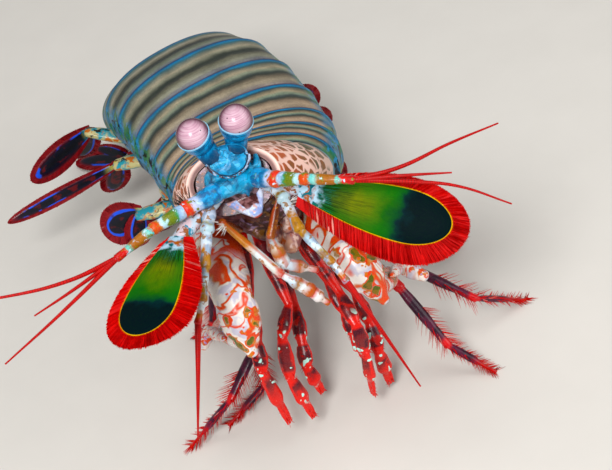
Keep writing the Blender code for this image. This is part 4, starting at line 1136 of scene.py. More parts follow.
def makeScales():
    place, run = startMaterial("scaleBlade")
    wave = waver(place, 0.3, 0.2)
    t = plus(run[1], wave)
    colour = ramp(t, [
        (0.1, "#0a4a3a"), (0.2, "#244c0c"), (0.33, scale["olive"]), (0.43, "#487000"), (0.51, scale["green"]),
        (0.57, "#04481c"), (0.61, "#022028"), (0.66, scale["night"]),
    ])
    edgeGreen = times(band(run[0], 0.5, 2.0, 0.3), band(t, -1.0, 0.58, 0.06))
    colour = mixed(times(edgeGreen, 0.7), colour, "#0e6a08")
    across = times(times(run[0], calc("SUBTRACT", run[2], 0.5)), 60.0)
    streaks = addNode("CombineXYZ", {0: times(run[1], 4.0), 1: across}).outputs[0]
    fibres = noise(streaks, 1.0, 5, 0.65, 0.2)
    dark = times(band(fibres, 0.54, 2.0, 0.04), band(t, -1.0, 0.34, 0.14))
    colour = mixed(times(dark, 0.85), colour, "#041408")
    lit = times(band(fibres, -1.0, 0.4, 0.04), band(t, -1.0, 0.2, 0.05))
    colour = mixed(lit, colour, "#1fa8a0")
    fine = times(band(noise(streaks, 5.0, 3), 0.5, 2.0, 0.05), 0.25)
    colour = mixed(fine, colour, scale["dark"])
    colour = mixed(band(run[0], 0.93, 2.0, 0.012), colour, scale["line"])
    colour = mixed(band(run[0], 0.975, 2.0, 0.01), colour, "#d85a04")
    uneven = waver(place, 0.7, 0.16)
    rootward = plus(run[1], uneven)
    base = mixed(band(rootward, 0.04, 0.08, 0.015), "#a4c8dc", "#a05008")
    base = mixed(blotches(place, 0.7, 0.56, 0.05), base, "#0c6474")
    colour = mixed(band(rootward, -1.0, 0.12, 0.03), colour, base)
    material = endMaterial(place, colour, scale=1.4, rough=0.5, bump=0.2, coat=0.0, gloss=0.02)
    place, run = startMaterial("redFringe")
    colour = mixed(noise(place, 0.9), scale["fringeDeep"], scale["fringe"])
    # A few bristles near the inner root of each fringe are painted pale: a painted highlight.
    pale = times(band(run[2], 0.86, 2.0, 0.02), band(run[1], 0.06, 0.26, 0.03))
    colour = mixed(times(pale, 0.6), colour, "#f0b0a0")
    colour = mixed(times(band(run[0], -1.0, 0.06, 0.03), 0.7), colour, "#d86008")
    fringe = endMaterial(place, colour, scale=2.5, rough=0.45, bump=0.2, coat=0.0, glow=0.03, gloss=0.06)
    web = webMaterial(
        "fringeWeb", (90.0, 4.0), (scale["fringeDeep"], scale["fringe"]),
        scale=2.5, rough=0.5, bump=0.2, coat=0.0, glow=0.03, gloss=0.06,
    )
    rootHalf, half = scale["rootHalf"], scale["half"]
    for side in sides:
        root, runOf, across = scaleRuns[side]
        core = (runOf[0] - scale["tipFringe"]) / runOf[0]
        outer = scale["outerEdge"][side]
        shapes, fringes = {}, {}
        for edge in (-1, 1):
            rim = scale["outerFringe"] if edge == outer else scale["innerFringe"]
            shapes[edge] = {"root": rootHalf, "half": half, "widest": scale["widest"], "end": core}
            fringes[edge] = dict(shapes[edge], root=rootHalf + rim[0], half=half + rim[1], end=1.0)
        leaf = {
            "root": root, "run": runOf, "across": across, "shapes": shapes, "fringes": fringes,
            "outer": outer, "thickness": scale["thickness"], "camber": scale["camber"],
            "fullHalf": half + 3.0, "veins": 0.02,
        }
        soup = newSoup()
        addLeaf(soup, leaf, 60, 12)
        name = "antennal_scale_" + side
        makePiece(name + "_blade", soup, material, [name], softAngle)
        soup = newSoup()
        addLeaf(soup, webOf(leaf, scale["webShare"]), 80, 10)
        makePiece(name + "_web", soup, web, sharp=softAngle)
        soup = newSoup()
        addFringe(soup, leaf, scale["fringeLook"], 11 + sides[side])
        makePiece(name + "_fringe", soup, fringe, sharp=softAngle)
    print("antennal scales made")
    return fringe


fringeMaterial = makeScales()


# Antennae: white stems with olive-gold bands, and a long red whip
antennae = {
    "right": ((-5.6, -0.9, 54.2), [(4.0, -32, -16), (6.7, -32, -26), (5.8, -34, -30), (4.0, -45, -32)]),
    "left": ((6.0, -1.8, 54.2), [(3.6, 6, -16), (6.3, -1, -27), (8.1, 20, -33), (4.0, 18, -42)]),
}
antennaWhips = {"right": [(9.8, -38, -48), (9.9, -42, -53)], "left": [(9.0, 17, -50), (13.5, 24, -60)]}
antennaLook = {
    "radii": [1.35, 1.1, 0.9, 0.72, 0.6], "flat": 0.95, "rings": (20, 14),
    "shape": (("near", 0.75), ("near", 0.92), ("far", 0.95), ("far", 1.2)),
}
antennaColours = [
    (0.0, "#8c98b4"), (0.14, "#c8d4e0"), (0.2, "#8a7c24"), (0.24, "#a8c4cc"), (0.36, "#c4d0dc"),
    (0.4, "#a86c08"), (0.54, "#a87808"), (0.57, "#98bcd0"), (0.63, "#d0e4e8"), (0.66, "#9c7c0c"),
    (0.76, "#a8680c"), (0.79, "#d4e0e4"), (0.88, "#d8dce0"), (0.91, "#b8680c"), (0.96, "#c83008"),
    (1.0, "#b80c08"),
]


def makeAntennae():
    place, run = startMaterial("bandedAntenna")
    wave = waver(place, 0.8, 0.1)
    colour = ramp(plus(run[2], wave), antennaColours)
    colour = mixed(blotches(place, 0.6, 0.55, 0.08), colour, "#8ca0b8")
    spots = times(blotches(place, 0.9, 0.58, 0.03), 0.85)
    colour = mixed(spots, colour, "#8c5c10")
    material = endMaterial(place, colour, scale=2.0, rough=0.3, bump=0.3, coat=0.25, glow=0.05)
    for side in sides:
        soup = newSoup()
        points = addLimb(soup, *antennae[side], antennaLook)
        makePiece("antenna_" + side + "_stem", soup, material, ["antenna_" + side])
        soup = newSoup()
        addWhip(soup, joints(points[-1], antennaWhips[side]), 0.6, 0.14, (0, 1), 10)
        makePiece("antenna_" + side + "_whip", soup, whipMaterial)
    print("antennae made")


makeAntennae()


palps = {
    "right": [
        ((-3.4, 1.0, 54.6), (-8.6, -0.6, 53.8), [1.5, 1.9, 1.6]),
        ((-8.0, -0.8, 53.8), (-12.6, -3.0, 53.0), [1.5, 1.7, 1.3]),
    ],
    "left": [
        ((4.2, 0.4, 54.8), (7.6, -2.6, 54.2), [1.5, 2.0, 1.7]),
        ((7.0, -2.4, 54.2), (10.0, -5.0, 53.3), [1.6, 1.7, 1.3]),
    ],
}
tufts = {  # middle, direction, count and length of the hairs
    "dark": [((-9.0, -0.6, 57.8), (-0.25, 0.75, 0.6), 34, 2.6)],
    "pale": [
        ((-5.0, -4.3, 52.6), (-0.6, -0.3, 0.2), 14, 2.2), ((7.2, -6.0, 52.4), (0.5, -0.3, 0.2), 14, 2.0),
    ],
}


def makePalps():
    material = patchedMaterial("palpShell", "#d4bcc4", [
        (0.5, 0.5, 0.1, "#b8ccdc"), (0.9, 0.56, 0.04, "#8a4c1c"), (0.7, 0.6, 0.04, "#1f7f9c"),
    ], scale=1.8, rough=0.3, bump=0.5, coat=0.25, glow=0.04)
    for side, forms in palps.items():
        soup = addForms(newSoup(), forms, (0, 0), 0.85)
        makeSkin("antenna_" + side + "_root", soup, 0.2, 4, material)
    for shade, codes in (("dark", ("#0a0604", "#3a2418")), ("pale", ("#c8c4c0", "#ece8e4"))):
        place, _ = startMaterial(shade + "Hair")
        colour = mixed(noise(place, 0.9), *codes)
        hair = endMaterial(place, colour, scale=2.5, rough=0.4, bump=0.2, coat=0.05)
        soup, dice = newSoup(), random.Random(len(shade))
        for centre, direction, count, reach in tufts[shade]:
            along = Vector(direction).normalized()
            side, up = crossFrame(along)
            for k in range(count):
                x, y = dice.uniform(-1, 1), dice.uniform(-1, 1)
                root = Vector(centre) + side * x * 1.1 + up * y * 0.5
                way = (along + side * x * 0.6 + up * y * 0.5).normalized()
                tip = root + way * reach * dice.uniform(0.6, 1.0)
                spot = (0.5 + 0.4 * x, 0.5 + 0.4 * y)
                sag = up * dice.uniform(-0.1, 0.1)
                addBristle(soup, root, tip, 0.14, sag, spot, (0.5, dice.random()), 1.0)
        makePiece(shade + "_joint_hairs", soup, hair, sharp=softAngle)
    print("antenna roots made")


makePalps()


# The raptorial claws: a white upper piece, and a folded hand with its club and spike
merus = {"right": ((-4.0, 17.5, 37.0), [(25.0, -9, 5)]), "left": ((14.4, 12.5, 37.0), [(23.0, -2, 7)])}
knuckle = {"right": (10.4, -9, -58), "left": (10.2, 22, -54)}
fold = {"right": (18.8, -176, -30), "left": (16.8, 157, -36)}
clubLean = {"right": (-46, -23), "left": (46, -23)}
claw = {
    "merus": [2.9, 3.8, 4.25, 4.1, 3.5], "knuckle": [3.3, 3.75, 3.5, 2.3, 1.0], "fold": [2.0, 2.6, 2.75, 2.3],
    "club": {"right": (1.25, 3.4), "left": (1.5, 5.0)}, "clubTaper": (0.8, 1, 0.7), "spikeLength": 13.0,
    "foldFrom": 0.75, "spikeRadii": (1.2, 0.5),
    "white": "#ece4dc", "shade": "#c4c0d0", "line": "#e04006", "gold": "#c87410",
    "looks": {
        "clawUpper": {
            "scale": 0.17, "size": 0.3, "edge": 0.11,
            "core": "#e0d4c4", "coreShade": "#a88458", "lines": 0.14, "red": 0.66,
        },
        "clawHand": {
            "scale": 0.3, "size": 0.36, "edge": 0.14,
            "core": "#545c08", "coreShade": "#80640c", "lines": 0.14, "red": 0.0,
        },
        "clawClub": {
            "scale": 0.5, "size": 0.2, "edge": 0.1,
            "core": "#b890c4", "coreShade": "#a88cc0", "lines": 0.3, "red": 0.0,
        },
    },
}


def clawMaterial(name):
    look = claw["looks"][name]
    place, run = startMaterial(name)
    colour = mixed(blotches(place, 0.4, 0.54, 0.08), claw["white"], claw["shade"])
    lines = noise(place, look["lines"], 2.0, 0.45, 0.9)
    colour = mixed(band(lines, 0.53, 0.62, 0.025), colour, claw["gold"])
    colour = mixed(band(lines, 0.54, 0.6, 0.015), colour, claw["line"])
    colour = mixed(band(lines, 0.39, 0.42, 0.015), colour, claw["line"])
    if look["red"]:
        patch = times(band(run[0], 0.1, look["red"], 0.1), blotches(place, 0.22, 0.44, 0.03))
        colour = mixed(patch, colour, claw["line"])
    spots = useGroup("ringedSpots", Place=place, Scale=look["scale"], Size=look["size"], Edge=look["edge"])
    ring = mixed(blotches(place, 0.5, 0.5), claw["line"], claw["gold"])
    colour = mixed(spots["Ring"], colour, ring)
    core = mixed(blotches(place, 0.8, 0.52), look["core"], look["coreShade"])
    colour = mixed(spots["Core"], colour, core)
    return endMaterial(place, colour, scale=1.2, rough=0.28, bump=0.25, coat=0.3, glow=0.04)


def makeClaws():
    upper, hand, club = (clawMaterial(name) for name in claw["looks"])
    for side, sign in sides.items():
        names = ["raptorial_" + part + "_" + side for part in ("merus", "propodus", "dactyl")]
        shoulder, knee = joints(*merus[side])
        soup = newSoup()
        addSegment(soup, shoulder, knee, claw["merus"], (0, 1), 0.85, 36, 24)
        makePiece(names[0] + "_shell", soup, upper, names[:1])
        toe = knee + heading(*knuckle[side][1:]) * knuckle[side][0]
        length, yaw, rise = fold[side]
        foldStart = blend(knee, toe, claw["foldFrom"])
        foldEnd = foldStart + heading(yaw, rise) * length
        soup = newSoup()
        addSegment(soup, knee, toe, claw["knuckle"], (0, 1), 0.9, 32, 20)
        addSegment(soup, foldStart, foldEnd, claw["fold"], (0, 1), 0.8, 28, 20)
        makePiece(names[1] + "_shell", soup, hand, names[1:2])
        out = Vector((sign, 0, 0.3)).normalized()
        back = heading(yaw, rise)
        radius, clubLength = claw["club"][side]
        heel = foldEnd + out * (claw["fold"][-1] + radius * 0.5)
        soup = newSoup()
        clubEnd = heel + heading(*clubLean[side]) * clubLength
        addSegment(soup, heel, clubEnd, [radius * share for share in claw["clubTaper"]], (0, 1), 1, 24, 14)
        spikeEnd, spikeRadii = heel - back * claw["spikeLength"], [radius * 0.6, *claw["spikeRadii"]]
        addSegment(soup, heel + back * 0.4, spikeEnd, spikeRadii, (0, 1), 0.9, 20, 16)
        makePiece(names[2] + "_shell", soup, club, names[2:])
    print("claws made")


makeClaws()


# Maxillipeds and walking legs
firstMaxillipeds = {
    "right": ((-1.2, 3.6, 43.6), [(8.4, -38, 52), (13.6, 34, -43), (6.0, 55, -43), (3.9, 54, -51)]),
    "left": ((4.6, 3.4, 43.4), [(8.2, 25, 58), (7.1, -50, -42), (5.7, 12, -72), (6.1, 73, -32)]),
}
lowerMaxillipeds = {
    ("3", "right"): ((3.0, 14.0, 33.0), [(14.9, -2, -38), (6.5, -42, -27), (7.8, -26, -66), (9.8, 30, -73)]),
    ("4", "right"): ((0.0, 11.0, 36.0), [(12.3, -31, -55), (8.1, -17, -22), (5.5, -24, -51), (12.8, 30, -78)]),
    ("5", "right"): ((5.0, 17.0, 29.0), [(14.8, -3, -50), (6.8, -19, -34), (4.7, -22, -51), (6.1, 26, -68)]),
    ("3", "left"): ((9.0, 11.0, 36.0), [(17.1, 12, -43), (6.6, 0, -34), (6.0, -7, -71), (10.5, -72, -84)]),
    ("4", "left"): ((8.0, 14.0, 33.0), [(19.1, 31, -44), (6.5, 2, -52), (5.6, -12, -52), (8.3, 46, -86)]),
    ("5", "left"): ((10.0, 17.0, 29.0), [(13.0, 16, -52), (6.8, 4, -40), (4.7, -2, -58), (5.4, 10, -70)]),
}
walkingLegs = {
    ("1", "left"): ((16.0, 26.0, 25.5), [(27.0, 17, -20), (14.0, 22, -46), (10.4, 47, -37)]),
    ("2", "left"): ((17.0, 32.5, 22.5), [(28.6, 21, -13), (14.4, 51, -34), (13.8, 100, -37)]),
    ("3", "left"): ((17.5, 38.5, 20.5), [(18.8, 43, -16), (11.7, 58, -37), (11.4, 124, -48)]),
    ("1", "right"): ((1.2, 26.0, 26.0), [(24.6, -20, -31), (9.9, -62, -30), (13.2, -99, -39)]),
    ("2", "right"): ((1.6, 32.5, 23.0), [(22.4, -16, -28), (11.3, -17, -53), (10.4, -77, -20)]),
    ("3", "right"): ((1.6, 38.5, 21.0), [(15.2, -38, -35), (7.9, -56, -63), (8.2, -149, -41)]),
}
limbLooks = {
    "first": {
        "radii": [0.78, 0.72, 0.8, 1.25, 0.6], "flat": 0.9, "rings": (20, 18), "bristles": 0,
        "shape": (("near", 0.8), ("near", 0.95), ("wide", 1.0), ("far", 1.0), ("far", 1.1)),
    },
    "lower": {
        "radii": [1.35, 1.15, 1.35, 1.4, 0.4], "flat": 0.62, "rings": (20, 18),
        "shape": (("near", 0.7), ("near", 0.95), ("wide", 1.08), ("far", 1.0), ("far", 0.7)),
        "bristles": 90, "length": 1.5, "lastFrom": 0.1,
    },
    "leg": {
        "radii": [1.4, 1.1, 0.85, 0.35], "flat": 0.72, "rings": (20, 18),
        "shape": (("near", 0.8), ("near", 1.0), ("wide", 1.0), ("far", 1.0), ("far", 1.0)),
        "bristles": 240, "length": 3.6, "lastFrom": 0.02,
    },
}


firstColours = {
    "right": [
        (0.0, "#4c1c0c"), (0.1, "#7a3c08"), (0.24, "#a83c08"), (0.28, "#9c5c08"), (0.36, "#b8740c"),
        (0.4, "#d4e0e4"), (0.47, "#d0d0c8"), (0.5, "#c02808"), (0.53, "#dce8ec"), (0.6, "#b8ccdc"),
        (0.64, "#8c5c08"), (0.68, "#dce8ec"), (0.74, "#b85c08"), (0.78, "#c82408"), (0.83, "#e4e4e4"),
        (0.93, "#d8c8c0"), (1.0, "#c02408"),
    ],
    "left": [
        (0.0, "#3c140c"), (0.2, "#5c2410"), (0.4, "#642c10"), (0.5, "#8c4408"), (0.54, "#a8b4bc"),
        (0.6, "#c0ac98"), (0.66, "#b8600c"), (0.7, "#dce8ec"), (0.8, "#c0ccd8"), (0.86, "#b85c08"),
        (0.92, "#e4e0dc"), (1.0, "#c02408"),
    ],
}


def firstMaterial(side):
    place, run = startMaterial("bandedHand_" + side)
    wave = waver(place, 0.9, 0.07)
    colour = ramp(plus(run[2], wave), firstColours[side])
    rims = band(calc("ABSOLUTE", run[1]), 0.4, 0.6, 0.06)
    colour = mixed(times(rims, 0.6), colour, "#c04408")
    colour = mixed(times(blotches(place, 0.9, 0.6, 0.04), 0.85), colour, "#a8640c")
    return endMaterial(place, colour, scale=1.6, rough=0.28, bump=0.3, coat=0.3, glow=0.04)


def limbMaterials():
    place, run = startMaterial("maroonLimb")
    base = patched(place, "#480c1c", [(0.4, 0.5, 0.1, "#741c20"), (0.6, 0.56, 0.05, "#b8140c")])
    sideways = calc("ABSOLUTE", run[1])
    edges = plus(band(sideways, -1.0, 0.17, 0.06), band(sideways, 0.83, 2.0, 0.06))
    colour = mixed(calc("MINIMUM", edges, 1.0), base, "#d81408")
    ends = plus(band(run[0], 0.82, 2.0, 0.06), band(run[0], -1.0, 0.12, 0.06))
    ends = plus(ends, band(run[2], 0.84, 2.0, 0.05))
    colour = mixed(calc("MINIMUM", ends, 0.95), colour, "#e01404")
    spots = useGroup("ringedSpots", Place=place, Scale=0.5, Size=0.24, Edge=0.05)
    mint = times(spots["Core"], band(run[2], 0.42, 0.9, 0.05))
    colour = mixed(mint, colour, "#b8ece0")
    lower = endMaterial(place, colour, scale=1.5, rough=0.26, bump=0.3, coat=0.35, glow=0.08)
    place, run = startMaterial("purpleLeg")
    base = mixed(blotches(place, 0.45, 0.5, 0.1), "#2c0820", "#541030")
    ends = plus(band(run[0], 0.9, 2.0, 0.04), band(run[0], -1.0, 0.06, 0.04))
    colour = mixed(times(ends, 0.95), base, "#d00c10")
    colour = mixed(times(band(run[2], 0.86, 2.0, 0.04), 0.8), colour, "#b80c18")
    leg = endMaterial(place, colour, scale=1.2, rough=0.3, bump=0.3, coat=0.3, glow=0.03)
    return lower, leg


fingers = {"from": 0.6, "apart": (0.45, 0.55), "radii": [0.45, 0.42, 0.16]}


def addFingers(soup, start, end):  # the two fingers at a lower maxilliped's tip
    side = crossFrame((end - start).normalized())[0]
    near, far = fingers["apart"]
    for turn in (-1, 1):
        knuckles = blend(start, end, fingers["from"]) + side * turn * near
        addSegment(soup, knuckles, end + side * turn * far, fingers["radii"], (0.9, 1.0), 0.8, 12, 8)


def addBristles(soup, points, look, seed):
    dice = random.Random(seed)
    for k in range(look["bristles"]):
        share = blend(look["lastFrom"], 1.0, (k + dice.random()) / look["bristles"])
        start, end, place = points[-2], points[-1], share
        if k % 3 == 0:
            start, end, place = points[-3], points[-2], blend(0.35, 1.0, dice.random())
        along = (end - start).normalized()
        side, up = crossFrame(along)
        turn = dice.choice((0.0, math.pi)) + dice.uniform(-0.9, 0.9)
        out = side * math.cos(turn) + up * math.sin(turn)
        root = blend(start, end, place) + out * look["radii"][-1] * 0.9
        reach = look["length"] * dice.uniform(0.6, 1.2) * (0.55 if k % 3 else 1.0)
        tip = root + (out * 0.8 + along * 0.8).normalized() * reach
        spot = (0.2 + 0.6 * (turn + 1) / 6.3, 0.1 + 0.8 * share)
        addBristle(soup, root, tip, 0.18, along * dice.uniform(-0.1, 0.15), spot, (share, dice.random()), 1.0)


def makeLimbs():
    lowerMaterial, legMaterial = limbMaterials()
    for side in sides:
        soup = newSoup()
        addLimb(soup, *firstMaxillipeds[side], limbLooks["first"])
        name = "maxilliped_1_" + side
        makePiece(name + "_arm", soup, firstMaterial(side), [name])
    for table, name, key, material, slot in (
        (lowerMaxillipeds, "maxilliped", "lower", lowerMaterial, "maxillipeds"),
        (walkingLegs, "walking_leg", "leg", legMaterial, "walking_legs"),
    ):
        for number, ((index, side), (root, segments)) in enumerate(table.items()):
            label = name + "_" + index + "_" + side
            soup = newSoup()
            points = addLimb(soup, root, segments, limbLooks[key])
            if key == "lower":
                addFingers(soup, points[-2], points[-1])
            makePiece(label + "_limb", soup, material, [label])
            soup = newSoup()
            addBristles(soup, points, limbLooks[key], 40 + number)
            makePiece(label + "_bristles", soup, fringeMaterial, sharp=softAngle)
    print("limbs made")


makeLimbs()


# Pleopods and tail fan
hanging = (4.5, 180, -70)
pleopods = {
    ("1", "right"): ((-5.5, 49.0, 19.0), (7.0, -105, 0), [(9.5, -95, -4, 5.0), (8.0, -60, -60, 3.2)]),
    ("2", "right"): ((-5.0, 57.0, 18.0), hanging, [(12.5, -172, -62, 4.6), (11.0, -120, -66, 3.6)]),
    ("3", "right"): ((-5.0, 68.0, 18.5), (6.5, -115, -4), [(27.0, -86, -2, 2.0), (11.0, -140, -64, 3.6)]),
    ("4", "right"): ((-6.0, 78.0, 18.0), (8.5, -118, 20), [(19.0, -60, 3, 3.6), (11.0, -140, -60, 3.6)]),
    ("5", "right"): ((-2.0, 84.0, 12.0), hanging, [(10.0, -172, -34, 4.0), (9.0, -130, -40, 3.2)]),
    ("1", "left"): ((26.0, 47.0, 18.5), hanging, [(12.5, 172, -62, 4.6), (11.0, 120, -66, 3.6)]),
    ("2", "left"): ((26.5, 58.5, 18.5), (2.5, 110, 20), [(7.0, 150, 34, 3.2), (11.0, 130, -62, 3.6)]),
    ("3", "left"): ((25.0, 67.0, 18.0), hanging, [(12.5, 172, -60, 4.6), (11.0, 120, -64, 3.6)]),
    ("4", "left"): ((22.0, 76.0, 16.0), hanging, [(11.5, 172, -56, 4.6), (10.0, 130, -60, 3.6)]),
    ("5", "left"): ((18.0, 84.0, 12.0), hanging, [(10.0, 172, -34, 4.0), (9.0, 130, -40, 3.2)]),
}
lobe = {
    "rootShare": 0.35, "widest": 0.55, "thickness": 0.8, "camber": 0.4, "fringeShare": 0.36, "webShare": 0.86,
    "grid": (28, 7), "stalk": [1.8, 2.0, 1.9, 1.6],
    "fringe": {"count": 150, "from": 0.06, "sweep": 0.05, "short": 0.85, "width": 0.2},
}
tail = {
    "run": (21.0, 8, 28), "ridges": (0.0, 0.12, 0.24, 0.36), "tooth": 1.6, "rows": 30, "count": 96,
    "half": [(0.0, 12.3), (0.3, 11.5), (0.7, 10.4), (0.94, 8.2), (1.0, 6.6)],
    "over": [(0.0, 4.6), (0.3, 3.6), (0.7, 2.4), (0.94, 1.4), (1.0, 0.7)],
    "under": [(0.0, 3.6), (0.3, 2.0), (0.7, 1.4), (0.94, 0.9), (1.0, 0.6)],
    "lobes": ((46, 15.0, 3.6), (20, 13.0, 2.7)), "lobeThickness": 0.9, "lobeCamber": 0.3,
    "lobeLift": 0.9, "stalk": [2.2, 2.6, 2.5, 2.2],
    "stalkRoot": (9.5, 5.6, 0.5), "stalkRun": (6.0, 34, 18),  # aside, down and back; length, outward and down
}


def leafMaterial():
    place, run = startMaterial("swimmeretLeaf")
    uneven = waver(place, 0.4, 0.2)
    reach = plus(run[0], uneven)
    colour = ramp(reach, [
        (0.0, "#04060f"), (0.55, "#060a20"), (0.72, "#2c0618"), (0.85, "#54061c"), (1.0, "#840810"),
    ])
    arc = times(band(reach, 0.66, 0.86, 0.03), blotches(place, 0.18, 0.52, 0.04))
    colour = mixed(arc, colour, "#1450dc")
    red = times(blotches(place, 0.4, 0.58, 0.05), band(reach, -1.0, 0.5, 0.1))
    colour = mixed(red, colour, "#5a0810")
    cream = mixed(blotches(place, 0.6, 0.5, 0.08), "#b0a850", "#1c9ca8")
    colour = mixed(band(run[1], -1.0, 0.12, 0.06), colour, cream)
    material = endMaterial(place, colour, scale=1.4, rough=0.34, bump=0.3, coat=0.2, glow=0.03)
    stalk = patchedMaterial("swimmeretStalk", "#b8b078", [
        (0.4, 0.5, 0.06, "#1c8c9c"), (0.6, 0.58, 0.04, "#b8600c"), (0.5, 0.62, 0.04, "#1c1c14"),
    ], scale=1.4, rough=0.3, bump=0.3, coat=0.3, glow=0.03)
    web = webMaterial(
        "swimmeretWeb", (40.0, 3.0), ("#5c0818", "#a81014"),
        scale=2.0, rough=0.45, bump=0.2, coat=0.0, glow=0.05,
    )
    return material, stalk, web


# A lobe is its start, its run, the way across it and its width.
def makeLobes(label, lobes, thickness, camber, seed):
    soups = {part: newSoup() for part in ("leaves", "webs", "fringe")}
    for k, (start, run, across, width) in enumerate(lobes):
        addLobe(soups, start, run, across, width, thickness, camber, seed + k)
    for part, soup in soups.items():
        makePiece(label + "_" + part, soup, leafShell if part == "leaves" else leafWeb, sharp=softAngle)


def addLobe(soups, start, run, across, width, thickness, camber, seed):
    share = 1 - lobe["fringeShare"]
    root, end = width * lobe["rootShare"], 1 - 0.6 * width * (1 - share) / run[0]
    shape = {"root": root * share, "half": width * share, "widest": lobe["widest"], "end": end}
    rim = {"root": root, "half": width, "widest": lobe["widest"], "end": 1.0}
    leaf = {
        "root": start, "run": run, "across": across, "outer": 1,
        "shapes": {-1: shape, 1: shape}, "fringes": {-1: rim, 1: rim},
        "thickness": thickness, "camber": camber, "fullHalf": width,
    }
    addLeaf(soups["leaves"], leaf, *lobe["grid"])
    addLeaf(soups["webs"], webOf(leaf, lobe["webShare"]), *lobe["grid"])
    addFringe(soups["fringe"], leaf, lobe["fringe"], seed)


def makePleopods():
    for number, ((index, side), (root, stalk, lobes)) in enumerate(pleopods.items()):
        sign = sides[side]
        points = joints(root, [stalk])
        label = "pleopod_" + index + "_" + side
        base, leaves = newSoup(), []
        addSegment(base, *points, lobe["stalk"], (0, 1), 0.6, across=(0, 1, 0))
        for length, yaw, rise, width in lobes:
            across = Vector((0, 0.25, 1)) if abs(rise) < 20 else Vector((sign, 0, 0.2))
            leaves.append((points[1] - heading(yaw, rise) * 1.0, (length, yaw, rise), across, width))
        makePiece(label + "_stalk", base, stalkShell, [label])
        makeLobes(label, leaves, lobe["thickness"], lobe["camber"], 80 + 2 * number)
    print("pleopods made")


def makeTail():
    rear = stations[-1]
    length, yaw, drop = tail["run"]
    along = -heading(yaw, drop)
    side = rear[1]
    normal = side.cross(along).normalized()
    root = rear[0] + along * 0.3
    rings, runs = [], []
    for row in range(tail["rows"] + 1):
        t = blend(0.02, 1.0, row / tail["rows"])
        size = [profile(tail[key], t) for key in ("half", "over", "under")]
        ring, values = [], []
        for a in turnsOf(tail["count"]):
            around = fromTop(a)
            ridge = 0.0
            if math.sin(a) > 0:
                ridge = sum(hump(abs(around) - r, 0.02) for r in tail["ridges"])
            point = sectionPoint(root + along * length * t, side, normal, size, a)
            tooth = abs(math.sin(2.5 * math.pi * math.cos(a))) ** 3 * smooth(0.86, 1.0, t)
            point += along * tail["tooth"] * tooth
            ring.append(point + normal * 0.5 * ridge * smooth(0.05, 0.3, t) * (1 - smooth(0.9, 1.0, t)))
            values.append((t, around, 0.95))
        rings.append(ring)
        runs.append(values)
    soup = newSoup()
    addRings(soup, rings, runs)
    makePiece("telson_shell", soup, shellMaterial, ["telson"])
    (aside, down, back), (stalkReach, outward, lower) = tail["stalkRoot"], tail["stalkRun"]
    for number, (name, sign) in enumerate(sides.items()):
        base = rear[0] + side * sign * aside - normal * down + along * back
        stalkEnd = base - heading(yaw - sign * outward, drop + lower) * stalkReach
        stem, leaves = newSoup(), []
        addSegment(stem, base, stalkEnd, tail["stalk"], (0, 1), 0.6, 24, 12, side)
        for turn, reach, width in tail["lobes"]:
            direction = yaw - sign * turn
            start = stalkEnd + heading(direction, 0) * 1.5
            start.z = max(start.z, tail["lobeLift"])
            across = Vector((math.cos(math.radians(direction)), math.sin(math.radians(direction)), 0))
            leaves.append((start, (reach, direction + 180, 0), across, width))
        label = "uropod_" + name
        makePiece(label + "_stem", stem, stalkShell, [label])
        makeLobes(label, leaves, tail["lobeThickness"], tail["lobeCamber"], 130 + 2 * number)
    print("tail made")


leafShell, stalkShell, leafWeb = leafMaterial()
makePleopods()
makeTail()


# Floor, light and camera
studio = {
    "floor": "#d9d5ce", "floorShade": "#d2cec7", "world": 0.3,
    "lights": [  # name, place, size and power
        ("key", (-0.2, -0.4, 0.48), 0.2, 3.4),
        ("fill", (0.42, -0.25, 0.25), 0.3, 0.9),
        ("top", (0.0, -0.05, 0.6), 0.3, 0.7),
    ],
}


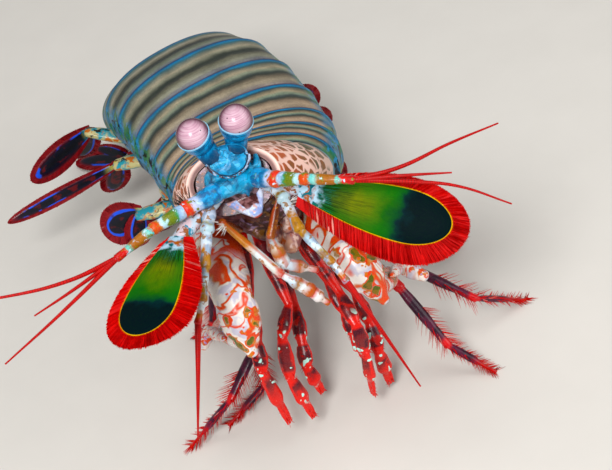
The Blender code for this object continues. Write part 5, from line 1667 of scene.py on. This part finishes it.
def makeStudio():
    bpy.context.scene.view_settings.view_transform = "Standard"  # keeps the strong colours of the shell
    bpy.ops.mesh.primitive_plane_add(size=4)
    floor = bpy.context.object
    floor.name = "floor"
    place, _ = startMaterial("paleFloor")
    colour = mixed(noise(place, 0.08), studio["floor"], studio["floorShade"])
    setShader({"Base Color": colour, "Roughness": 0.8})
    floor.data.materials.append(canvas["material"])
    world = bpy.data.worlds.new("studio")
    bpy.context.scene.world = world
    world.use_nodes = True
    world.node_tree.nodes["Background"].inputs["Color"].default_value = (1, 1, 1, 1)
    world.node_tree.nodes["Background"].inputs["Strength"].default_value = studio["world"]
    for name, place, size, power in studio["lights"]:
        light = bpy.data.lights.new(name, "AREA")
        light.size = size
        light.energy = power
        lamp = bpy.data.objects.new(name, light)
        bpy.context.scene.collection.objects.link(lamp)
        lamp.location = place
        lamp.rotation_euler = (Vector((0, 0, 0.03)) - Vector(place)).to_track_quat("-Z", "Y").to_euler()


view = {
    "between": (0, 0, 56), "inPicture": (234.99, 185.42), "picture": (306, 235),
    "back": (-0.12327, -0.77831, 0.61566), "distance": 340, "azimuth": -9, "roll": 19, "lens": 116.6,
    "scale": 5.83,  # picture dots a millimetre; inPicture and picture are in dots too
}


def makeCamera():
    focus, back = Vector(view["between"]), Vector(view["back"])
    eyePoint = focus + back * view["distance"]
    azimuth, roll = math.radians(view["azimuth"]), math.radians(view["roll"])
    level = Vector((math.cos(azimuth), math.sin(azimuth), 0))
    rise = back.cross(level).normalized()
    right = level * math.cos(roll) - rise * math.sin(roll)
    up = level * math.sin(roll) + rise * math.cos(roll)
    (x, y), (midX, midY) = view["inPicture"], view["picture"]
    target = focus + right * ((midX - x) / view["scale"]) + up * ((y - midY) / view["scale"])
    ahead = (target - eyePoint).normalized()
    right = (right - ahead * right.dot(ahead)).normalized()
    matrix = Matrix((right, right.cross(ahead), -ahead)).transposed().to_4x4()
    matrix.translation = eyePoint * mm + shift
    data = bpy.data.cameras.new("camera")
    data.lens = view["lens"]
    data.sensor_width = 36
    data.clip_start = 0.005
    camera = bpy.data.objects.new("camera", data)
    bpy.context.scene.collection.objects.link(camera)
    camera.matrix_world = matrix
    bpy.context.scene.camera = camera


makeStudio()
makeCamera()
print("scene complete")
